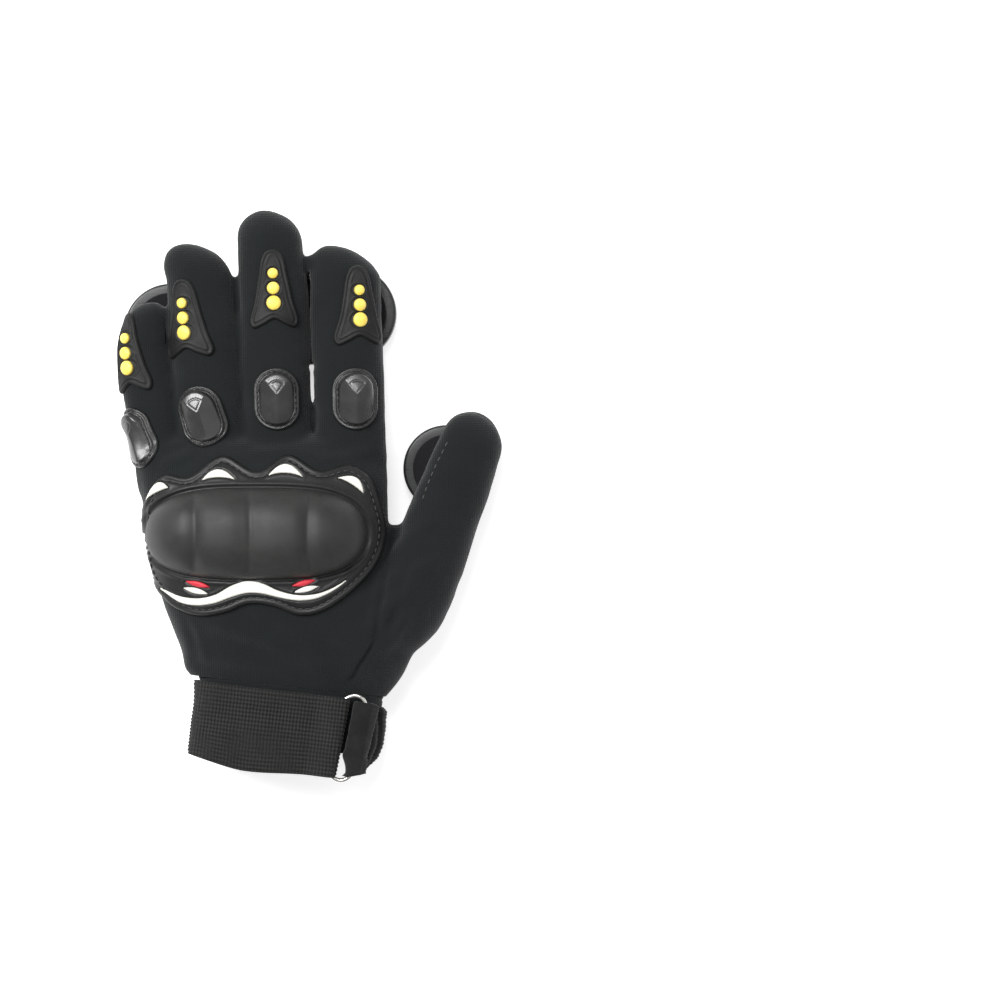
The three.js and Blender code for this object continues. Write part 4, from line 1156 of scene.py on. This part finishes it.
def finger_place(finger, along, roll, turn=0.0):
    shift = along * finger["length"] * FINGER_LENGTH
    return (moved(*finger_root(finger)) @ turned(-finger["heading"], "z") @ moved(0, shift, 0)
            @ turned(roll, "y") @ turned(turn, "z"))


def patch_outline(slim):
    right = np.array(PATCH_HALF) * [PATCH_WIDTH * slim, PATCH_LENGTH]
    left = right[1:-1][::-1] * [-1, 1]
    return closed_curve(np.concatenate([right, left]), 150)


def patch_top(depth, x, y):
    height = rounded_edge(depth, 0.95, 0.6)
    height += 0.32 * bump(depth, 0.95, 0.32) - 0.3 * bump(depth, 1.65, 0.28)
    height += 0.25 * bump(depth, 2.3, 0.3)
    for _, place, diameter in STUDS:
        away = np.hypot(x, y - place) - diameter / 2
        height += 0.22 * bump(away, 0.75, 0.3) - 0.4 * bump(away, 0.15, 0.32)
    return height


def pad_top(depth, x, y):
    height = rounded_edge(depth, 1.3, 0.8)
    height -= 0.45 * bump(depth, PAD_CHANNEL, 0.4)
    height += 0.75 * bump(depth, 2.15, 0.3)
    return height


def cap_top(depth, x, y, share):
    """A hard cap: a small triangular facet near its top end, and a ridge from its lower corner."""
    shoulder = rounded_edge(depth, CAP_HEIGHT + 0.2, 2.9)
    beside = 0.806 * np.abs(x) - 0.592 * (y - 1.6)
    crown = CAP_HEIGHT - 0.17 * (y - 1.6)
    flank = CAP_HEIGHT - 0.48 * np.sqrt(x ** 2 + 0.2) + 0.18 * (y - 1.6)
    line = 0.3 * bump(np.maximum(beside, 2.9 - depth), -0.45, 0.24)
    return share * (np.minimum(shoulder, np.minimum(crown, flank)) - line)


def dome(place, normal, radius, height):
    """A low round stud on a surface."""
    rim = rim_round(normal, AHEAD, 36)
    rows = [(1.0, -0.5)]
    rows += [(math.cos(a), height * (0.2 + 0.8 * math.sin(a))) for a in np.linspace(0, 1.5, 10)]
    return loft([place + normal * rise + rim * radius * wide for wide, rise in rows][::-1])


def build_patch(finger, bed):
    name = finger["name"]
    place = finger_place(finger, finger["patch"], finger["patch_roll"])
    patch = laid_piece(patch_outline(finger["slim"]), TRIM_CELL, bed, GAP, patch_top, place)
    add_piece("finger_patch_" + name, patch, MOULDED, ["patch_" + name])
    patch_bed = Bed(*patch)
    for number, along, diameter in STUDS:
        spot, normal = dropped(patch_bed, 0, along, place)
        normal = normal * 0.3 + place[:3, 2]
        form = dome(spot, normal / np.linalg.norm(normal), diameter / 2, STUD_HEIGHT)
        node_name = "stud_%s_%d" % (name, number)
        add_piece("yellow_" + node_name, form, YELLOW, [node_name])


def build_pad(finger, bed):
    """A knuckle pad and its cap, and the threads round the pad."""
    name = finger["name"]
    slim = finger["slim"]
    place = finger_place(finger, finger["pad"], finger["pad_roll"], finger["pad_turn"])
    pad = laid_piece(stadium(PAD_LENGTH, PAD_WIDTH * slim), TRIM_CELL, bed, GAP, pad_top, place)
    cushion = add_piece("knuckle_pad_" + name, pad, WELT, ["pad_" + name])
    cap_edge = stadium(CAP_LENGTH, CAP_WIDTH * slim)
    cap = laid_piece(cap_edge, CAP_CELL, bed, GAP + PAD_THICKNESS - CAP_SINK,
                     partial(cap_top, share=slim), place, upright=0.7)
    add_piece("knuckle_cap_" + name, cap, GLOSS, ["pad_cap_" + name])
    channel = closed_line(inset_outline(stadium(PAD_LENGTH, PAD_WIDTH * slim, 120), PAD_CHANNEL))
    return stitches(*line_on(Bed(*pad), channel, place), *PAD_STITCH)


# Wrist
CUFF_LENGTH = 35.0
CUFF_REACH = 24.0
CUFF_WIDTH = 75.0
CUFF_DEPTH = 30.0
# y from the seam, left, right, low, high
CUFF_SECTIONS = (
    (0, -0.49, 0.5, -0.53, 0.47),
    (0.2, -0.476, 0.494, -0.53, 0.45),
    (0.6, -0.476, 0.484, -0.53, 0.42),
    (1, -0.476, 0.42, -0.53, 0.38),
)
STRAP_TOP = -1.8
STRAP_WIDTH = 32.0
STRAP_THICKNESS = 1.8
RING_X = 20.78
RING_SPAN = 9.2
RING_STRAIGHT = 12.5
RING_WIRE = 0.9
RING_MIDDLE = -17.4
RING_LEVEL = 15.72
RING_STEPS = 120
RING_SIDES = 14
STRAP_END = 18.0
TAB_TOP = -2.6
TAB_WIDTH = 30.4
TAB_THICKNESS = 1.8


def cuff_section(y, outset, turn):
    """x and z of the cuff's surface in the wrist's frame, at a distance from the seam."""
    table = np.array(CUFF_SECTIONS)
    place = np.clip(-y / CUFF_LENGTH, 0, 1)
    left, right, low, high = spline(table[:, 0], table[:, 1:], [place])[0]
    half = (right - left) / 2 * CUFF_WIDTH + outset
    side, height = rounded_section(turn, half, high * CUFF_DEPTH + outset,
                                   -low * CUFF_DEPTH + outset)
    return (left + right) / 2 * CUFF_WIDTH + side, height


def grid_faces(rows, columns, around=False, closed=False):
    """Faces between rows of points: around joins a row's ends, closed the last row to the first."""
    faces = []
    for row in range(rows if closed else rows - 1):
        here = row * columns
        below = (row + 1) % rows * columns
        for column in range(columns if around else columns - 1):
            after = (column + 1) % columns
            faces.append([here + column, here + after, below + after, below + column])
    return faces


def build_cuff():
    turn = full_turn(200)
    places = np.linspace(0.1, -CUFF_REACH, 46)
    rows = []
    for y in places:
        dip = 0.125 * np.cos(turn * 90) - 0.5 * (bump(y, -1.3, 0.5) + bump(y, 3.2 - CUFF_REACH, 0.5))
        x, z = cuff_section(y, 0.0, turn)
        rows.append(wrist_world(x * (1 + dip / 40), y, z * (1 + dip / 20)))
    verts = np.concatenate(rows)
    shell = thick_shell(verts, grid_faces(len(places), len(turn), True), FABRIC)
    add_piece("wrist_cuff_tube", shell, KNIT, ["wrist_cuff"])


def straight(path, y):
    return np.full(len(path), y)


def band(paths, sign, thickness, relief, bend=straight):
    """A closed band: rows of a path in x and z, each at its own y; relief raises its outer side."""
    rows = len(paths)
    count = len(paths[0][1])
    outer = []
    inner = []
    for y, path in paths:
        ahead = np.gradient(path, axis=0)
        ahead /= np.linalg.norm(ahead, axis=1)[:, None]
        out = sign * np.stack([ahead[:, 1], -ahead[:, 0]], 1)
        far = run_length(path)
        high = path + out * (thickness / 2 + relief(far, y, far[-1]))[:, None]
        low = path - out * thickness / 2
        level = bend(path, y)
        outer.append(wrist_world(high[:, 0], level, high[:, 1]))
        inner.append(wrist_world(low[:, 0], level, low[:, 1]))
    verts = np.concatenate(outer + inner)
    top = grid_faces(rows, count)
    if sign < 0:
        top = [face[::-1] for face in top]
    size = rows * count
    faces = top + [[index + size for index in reversed(face)] for face in top]
    faces += [[two, one, one + size, two + size] for one, two in open_edges(top)]
    return verts, faces


def lean(y):
    """How far the ring and its loops lean sideways along the wrist."""
    return 0.08 * (y - RING_MIDDLE)


def wire_turn(x, start, end, radius):
    turn = np.radians(np.linspace(start, end, 26))
    return np.stack([x + radius * np.cos(turn), RING_LEVEL + radius * np.sin(turn)], 1)


def strap_path(y):
    """From under the ring's wire, round it, over the back and round to the palm side."""
    radius = RING_WIRE + 0.15 + STRAP_THICKNESS / 2
    outset = GAP + STRAP_THICKNESS / 2
    wire = RING_X + lean(y)
    start = wire_turn(wire, -110, 90, radius)
    turn = np.linspace(0.35 * math.pi, 1.78 * math.pi, 400)
    x, z = cuff_section(y, outset, turn)
    keep = ((x < wire - 11) | (np.sin(turn) < 0)) & ((np.sin(turn) > 0) | (x < STRAP_END))
    rest = np.stack([x[keep], z[keep]], 1)
    bridge_x = np.linspace(wire - 1, rest[0, 0] + 0.5, 14)
    share = smooth_step((wire - 1 - bridge_x) / (wire - 1 - rest[0, 0]))
    bridge = np.stack([bridge_x, (RING_LEVEL + radius) * (1 - share) + rest[0, 1] * share], 1)
    return resampled(np.concatenate([start, bridge, rest]), 330)


def strap_bend(path, y):
    """The strap's lower edge rises in a slow curve towards the side of the wrist."""
    low = smooth_step((-12 - y) / 22)
    x = path[:, 0]
    return y + low * (2.9 * np.clip((-14 - x) / 24, 0, 1) ** 1.6 - 1.4 * bump(x, -12, 15))


def strap_relief(far, y, length):
    across = (y - STRAP_TOP) / -STRAP_WIDTH
    ribs = 0.2 * np.cos(far * 2 * math.pi / RIB_PITCH)
    rows = 0.2 * math.cos(across * STRAP_WIDTH * 2 * math.pi / ROW_PITCH)
    selvedge = -0.3 * bump(min(across, 1 - across), 0, 0.03)
    return ribs + rows + selvedge


def tab_path(y):
    """From under the wire's other side, round it and down the thumb side of the cuff."""
    puff = 2.6 * np.clip((y + 31) / 8, 0, 1) + 1.1 * bump(y, -24.5, 2.2)
    radius = RING_WIRE + 0.2 + TAB_THICKNESS / 2
    x_wire = RING_X + RING_SPAN + lean(y)
    start = wire_turn(x_wire, 290, 95, radius)
    start[:, 0] -= puff * smooth_step((x_wire - start[:, 0]) / 3)
    turn = np.linspace(0.2 * math.pi, -0.12 * math.pi, 60)
    x, z = cuff_section(y, GAP + TAB_THICKNESS / 2, turn)
    swell = 0.9 * math.sin(math.pi * min(1, -y / 34)) - 2.4 * smooth_step((-29 - y) / 5)
    side = np.stack([x + swell, z], 1)
    bridge = np.array([[x_wire + 2.2, RING_LEVEL + radius - 0.6], [x_wire + 4.6, RING_LEVEL - 1.6]])
    return resampled(np.concatenate([start, bridge, side[side[:, 1] < RING_LEVEL - 5]]), 90)


def tab_bend(path, y):
    """The tab's corners on the thumb side are rounded, the lower one most."""
    side = path[:, 0]
    low = smooth_step((-23 - y) / 10) * np.clip((side - 25) / 9, 0, 1.3) ** 1.5
    top = smooth_step((y + 8) / 5) * np.clip((side - 32) / 5, 0, 1.3) ** 2
    return y + 2.6 * low - 1.8 * top


def tab_relief(far, y, length):
    share = far / length
    crease = 0.8 * bump(share, 0.44 + 0.002 * y, 0.035) + 1.0 * bump(share, 0.6 - 0.003 * y, 0.03)
    ribs = 0.2 * np.sin(y * 3.6) * smooth_step((share - 0.26) / 0.03)
    return ribs - crease + 0.08 * math.sin(y * 0.9)


def build_wrist():
    build_cuff()
    places = STRAP_TOP - np.linspace(0, STRAP_WIDTH, 96)
    strap = band([(y, strap_path(y)) for y in places], 1, STRAP_THICKNESS, strap_relief, strap_bend)
    add_piece("wrist_strap_band", strap, WEBBING, ["wrist_strap"])
    places = TAB_TOP - np.linspace(0, TAB_WIDTH, 50)
    tab = band([(y, tab_path(y)) for y in places], -1, TAB_THICKNESS, tab_relief, tab_bend)
    add_piece("ring_tab_fold", tab, VELVET, ["ring_tab"])
    line = oval(full_turn(RING_STEPS), RING_SPAN / 2, RING_STRAIGHT)
    ahead = np.roll(line, -1, 0) - np.roll(line, 1, 0)
    ahead /= np.linalg.norm(ahead, axis=1)[:, None]
    wire = full_turn(RING_SIDES)
    out = RING_WIRE * np.cos(wire)
    level = RING_LEVEL + RING_WIRE * np.sin(wire)
    rows = []
    for (x, y), (ahead_x, ahead_y) in zip(line, ahead):
        x += RING_X + RING_SPAN / 2 + lean(RING_MIDDLE + y)
        rows.append(wrist_world(x + out * ahead_y, RING_MIDDLE + y - out * ahead_x, level))
    ring = (np.concatenate(rows), grid_faces(RING_STEPS, RING_SIDES, True, True))
    add_piece("oval_wire_ring", ring, METAL, ["oval_ring"])


def stitch_piece(name, parts, material):
    add_piece(name, joined(parts), material)


# Pucks and the discs that hold them
PALM_RADIUS = 41.7
PALM_THICKNESS = 14.0
PALM_RIM = 7.5
PALM_RECESS = 1.2
# y, length, width and sag of the raised shapes, in puck radii
PUCK_LENSES = ((0, 1.62, 0.92, 0), (0.57, 1.1, 0.3, 0.14), (-0.57, 1.16, 0.3, -0.14))
FINGER_PUCK_LENGTH = 110.0
FINGER_PUCK_WIDTH = 38.0
FINGER_STRAIGHT = (FINGER_PUCK_LENGTH - FINGER_PUCK_WIDTH) / 2
FINGER_PUCK_PLACE = (-3.401, 86.044)
FINGER_PUCK_TURN = 95.6
FINGER_PUCK_THICKNESS = 14.0
THUMB_PUCK_RADIUS = 17.5
THUMB_PUCK_THICKNESS = 12.0
THUMB_PUCK_PLACE = (71.725, 27.131)
# Rounding of the pucks' edges
UPPER_ROUND = 1.2
LOWER_ROUND = 2.5
HOOK_INSET = 4.0
PALM_TOP = 18.8
FINGER_TOP = 19.3
THUMB_TOP = 17.3


def lens_outline(row):
    y, length, width, sag = np.array(row) * PALM_RADIUS
    left = np.array([-length / 2, y - sag])
    right = np.array([length / 2, y - sag])
    upper = arc_through(right, np.array([0, y + width / 2]), left, 60)
    lower = arc_through(left, np.array([0, y - width / 2]), right, 60)
    return np.concatenate([upper[:-1], lower[:-1]])


def palm_face(points):
    """Height of the palm puck's sliding side: rim, recess and raised shapes."""
    far = np.linalg.norm(points, axis=1)
    inside = PALM_RADIUS - PALM_RIM - far
    height = PALM_RECESS * smooth_step(inside / 1.6)
    height -= 0.35 * bump(inside, 2.6, 0.45)
    for row in PUCK_LENSES:
        away = inside_distance(points, lens_outline(row))[0]
        height -= 0.55 * smooth_step(away / 0.8) * smooth_step(inside / 1.6)
        height -= 0.3 * bump(away, 1.2, 0.4) * smooth_step(inside / 1.6)
    return height


def flat_face(points):
    return np.zeros(len(points))


def puck_rings(radius, straight, thickness, face, step, sides):
    """Rings of a puck from the middle of its top, round its edge, to the middle of its low side."""
    middle = radius - UPPER_ROUND
    top = [(share * middle, thickness) for share in np.linspace(0.02, 1, 8)]
    top += [(middle + UPPER_ROUND * math.sin(a), thickness - UPPER_ROUND + UPPER_ROUND * math.cos(a))
            for a in np.linspace(0.25, math.pi / 2, 6)]
    side = [(radius, z) for z in np.linspace(thickness - UPPER_ROUND - 1, LOWER_ROUND + 0.8, 6)]
    middle = radius - LOWER_ROUND
    low = [(middle + LOWER_ROUND * math.cos(a), LOWER_ROUND - LOWER_ROUND * math.sin(a))
           for a in np.linspace(0, math.pi / 2, 12)]
    under = [(far, 0.0) for far in np.arange(middle - step, 0.3, -step)]
    rings = []
    for far, level in top + side + low + under:
        flat = oval(full_turn(sides), far, straight)
        height = np.full(sides, level)
        if level == 0.0:
            height += face(flat)
        rings.append(np.column_stack([flat, height]))
    return rings


def settled(rings, place, degrees):
    return [ring @ turned(degrees, "z")[:3, :3].T + [*place, 0] for ring in rings]


def hook_rings(radius, straight, low, high, bed, place, degrees):
    """Rings of a disc that is flat below and follows the fabric above."""
    turn = full_turn(144)
    top = settled([np.column_stack([oval(turn, far, straight), np.zeros(len(turn))])
                   for far in np.linspace(0.5, radius - HOOK_INSET, 26)], place, degrees)
    for ring in top:
        for point in ring:
            spot = bed.tree.ray_cast(Vector((point[0], point[1], low)), Vector(UP))[0]
            level = high if spot is None else min(spot.z - 0.12, high)
            point[2] = max(level, low + 1.0)
    rim = top[-1]
    side = [np.column_stack([rim[:, :2], low + (rim[:, 2] - low) * share])
            for share in (0.7, 0.35, 0.0)]
    under = [np.column_stack([ring[:, :2], np.full(len(ring), low)]) for ring in top[-3::-4]]
    return top + side + under


# Pucks: radius, half of the straight part, thickness, sliding side, place, turn, points of a ring,
# step between the rings of the sliding side, and the level that the disc reaches at most
PUCKS = {
    "palm": (PALM_RADIUS, 0, PALM_THICKNESS, palm_face, (0, 0), 0, 256, 0.55, PALM_TOP),
    "finger": (FINGER_PUCK_WIDTH / 2, FINGER_STRAIGHT, FINGER_PUCK_THICKNESS, flat_face,
               FINGER_PUCK_PLACE, FINGER_PUCK_TURN, 200, 1.2, FINGER_TOP),
    "thumb": (THUMB_PUCK_RADIUS, 0, THUMB_PUCK_THICKNESS, flat_face,
              THUMB_PUCK_PLACE, 0, 160, 1.2, THUMB_TOP),
}


def build_pucks(bed):
    for name, row in PUCKS.items():
        radius, straight, thickness, face, place, degrees, sides, step, high = row
        rings = settled(puck_rings(radius, straight, thickness, face, step, sides), place, degrees)
        add_piece("slide_puck_" + name, loft(rings), PUCK, [name + "_puck"])
        rings = hook_rings(radius, straight, thickness + GAP, high, bed, place, degrees)
        add_piece("hook_disc_" + name, loft(rings), HOOK, [name + "_hook"])


# Silicone dots of the palm: height and radius of a dot's two rims, its height, and the
# pitch and first place of the staggered grid that they stand in
DOT_ROWS = ((-0.1, 0.46), (0.16, 0.36))
DOT_HEIGHT = 0.27
DOT_PITCH = (2.4, 2.1)
DOT_START = (-60, -62)
DOT_COUNT = (70, 90)


def small_dome(place, normal):
    rim = rim_round(normal, AHEAD, 6)
    verts = [place + normal * rise + rim * radius for rise, radius in DOT_ROWS]
    verts.append((place + normal * DOT_HEIGHT)[None])
    faces = [[step, (step + 1) % 6, 6 + (step + 1) % 6, 6 + step] for step in range(6)]
    faces += [[6 + step, 6 + (step + 1) % 6, 12] for step in range(6)]
    faces.append([5, 4, 3, 2, 1, 0])
    return np.concatenate(verts), faces


def under_puck(x, y):
    """Whether a place is under a puck's disc, or within 1 mm of it."""
    for radius, straight, _, _, place, degrees, *_ in PUCKS.values():
        forward = across_at(degrees + 90)[:2]
        away = np.array([x, y]) - place
        along = np.clip(away @ forward, -straight, straight)
        if np.linalg.norm(away - along * forward) < radius - HOOK_INSET + 1:
            return True
    return False


def build_dots(bed):
    parts = []
    for row in range(DOT_COUNT[1]):
        y = DOT_START[1] + row * DOT_PITCH[1]
        for column in range(DOT_COUNT[0]):
            x = DOT_START[0] + column * DOT_PITCH[0] + (row % 2) * DOT_PITCH[0] / 2
            if under_puck(x, y):
                continue
            hit = bed.tree.ray_cast(Vector((x, y, 0.0)), Vector(UP))[0]
            if hit is None or hit.z > SEAM_LEVEL - 3.5:
                continue
            place, normal = bed.hit(np.array([x, y, 0.0]), UP)
            if normal[2] > -0.6:
                continue
            parts.append(small_dome(place, normal))
    stitch_piece("palm_dots", parts, DOTS)


def build_stitches(bed, guard_bed, pad_lines):
    edge = closed_line(inset_outline(GUARD_EDGE, GUARD_CHANNEL))
    guard_lines = stitches(*line_on(guard_bed, edge), *GUARD_STITCH)
    thumb_lines = stitches(*line_on(bed, resampled(np.array(THUMB_LINE), 30)), *THUMB_STITCH)
    stitch_piece("guard_stitches", guard_lines, THREAD)
    stitch_piece("knuckle_stitches", pad_lines, THREAD)
    stitch_piece("thumb_stitches", thumb_lines, PALE_THREAD)


# Floor, light and camera
CAMERA_HEIGHT = 2.6
CAMERA_PLACE = (0.0912, 0.0164, CAMERA_HEIGHT + 0.03)
FRAME_WIDTH = 0.396
SENSOR = 36
LIT_PLACE = (0.09, 0.02, 0.02)
SKY = 0.42
# Lights: place, size, watts
LIGHTS = {
    "key": ((-0.75, 0.55, 1.3), 0.7, 25),
    "fill": ((1.1, 0.3, 1.2), 1.2, 2.5),
    "crown": ((-0.05, 0.5, 1.5), 0.35, 8),
}
FLOOR_HALF = 1600


def floor_material():
    made, tree = new_tree("floor")
    cloud = noise_of(tree, 60, 2)
    colour = blended(tree, cloud, (0.9, 0.9, 0.9), (0.93, 0.93, 0.93))
    return finished(made, colour, spread(tree, cloud, 0.75, 0.85), cloud, 0.01, 0.2,
                    Emission_Color=(1, 1, 1, 1), Emission_Strength=0.62)


def area_light(name, place, size, watts):
    data = bpy.data.lights.new(name, "AREA")
    data.size = size
    data.energy = watts
    lamp = linked(name, data)
    lamp.location = place
    lamp.rotation_euler = (Vector(LIT_PLACE) - Vector(place)).to_track_quat("-Z", "Y").to_euler()


def build_stage():
    verts = np.array([(-1, -1, 0), (1, -1, 0), (1, 1, 0), (-1, 1, 0)]) * FLOOR_HALF
    floor = linked("floor", plain_mesh("floor", verts, [[0, 1, 2, 3]]))
    floor.data.materials.append(floor_material())

    world = bpy.data.worlds.new("studio")
    bpy.context.scene.world = world
    world.use_nodes = True
    sky = world.node_tree.nodes["Background"]
    sky.inputs["Color"].default_value = (1, 1, 1, 1)
    sky.inputs["Strength"].default_value = SKY
    for name, (place, size, watts) in LIGHTS.items():
        area_light(name, place, size, watts)

    camera = linked("camera", bpy.data.cameras.new("camera"))
    camera.location = CAMERA_PLACE
    camera.data.sensor_width = SENSOR
    camera.data.lens = SENSOR * CAMERA_HEIGHT / FRAME_WIDTH
    bpy.context.scene.camera = camera
    bpy.context.scene.view_settings.view_transform = "Standard"


glove = build_fabric()
guard = build_guard(glove)
pad_stitches = []
for one_finger in FINGERS:
    build_patch(one_finger, glove)
    pad_stitches += build_pad(one_finger, glove)
build_wrist()
build_pucks(glove)
build_dots(glove)
build_stitches(glove, guard, pad_stitches)
build_stage()
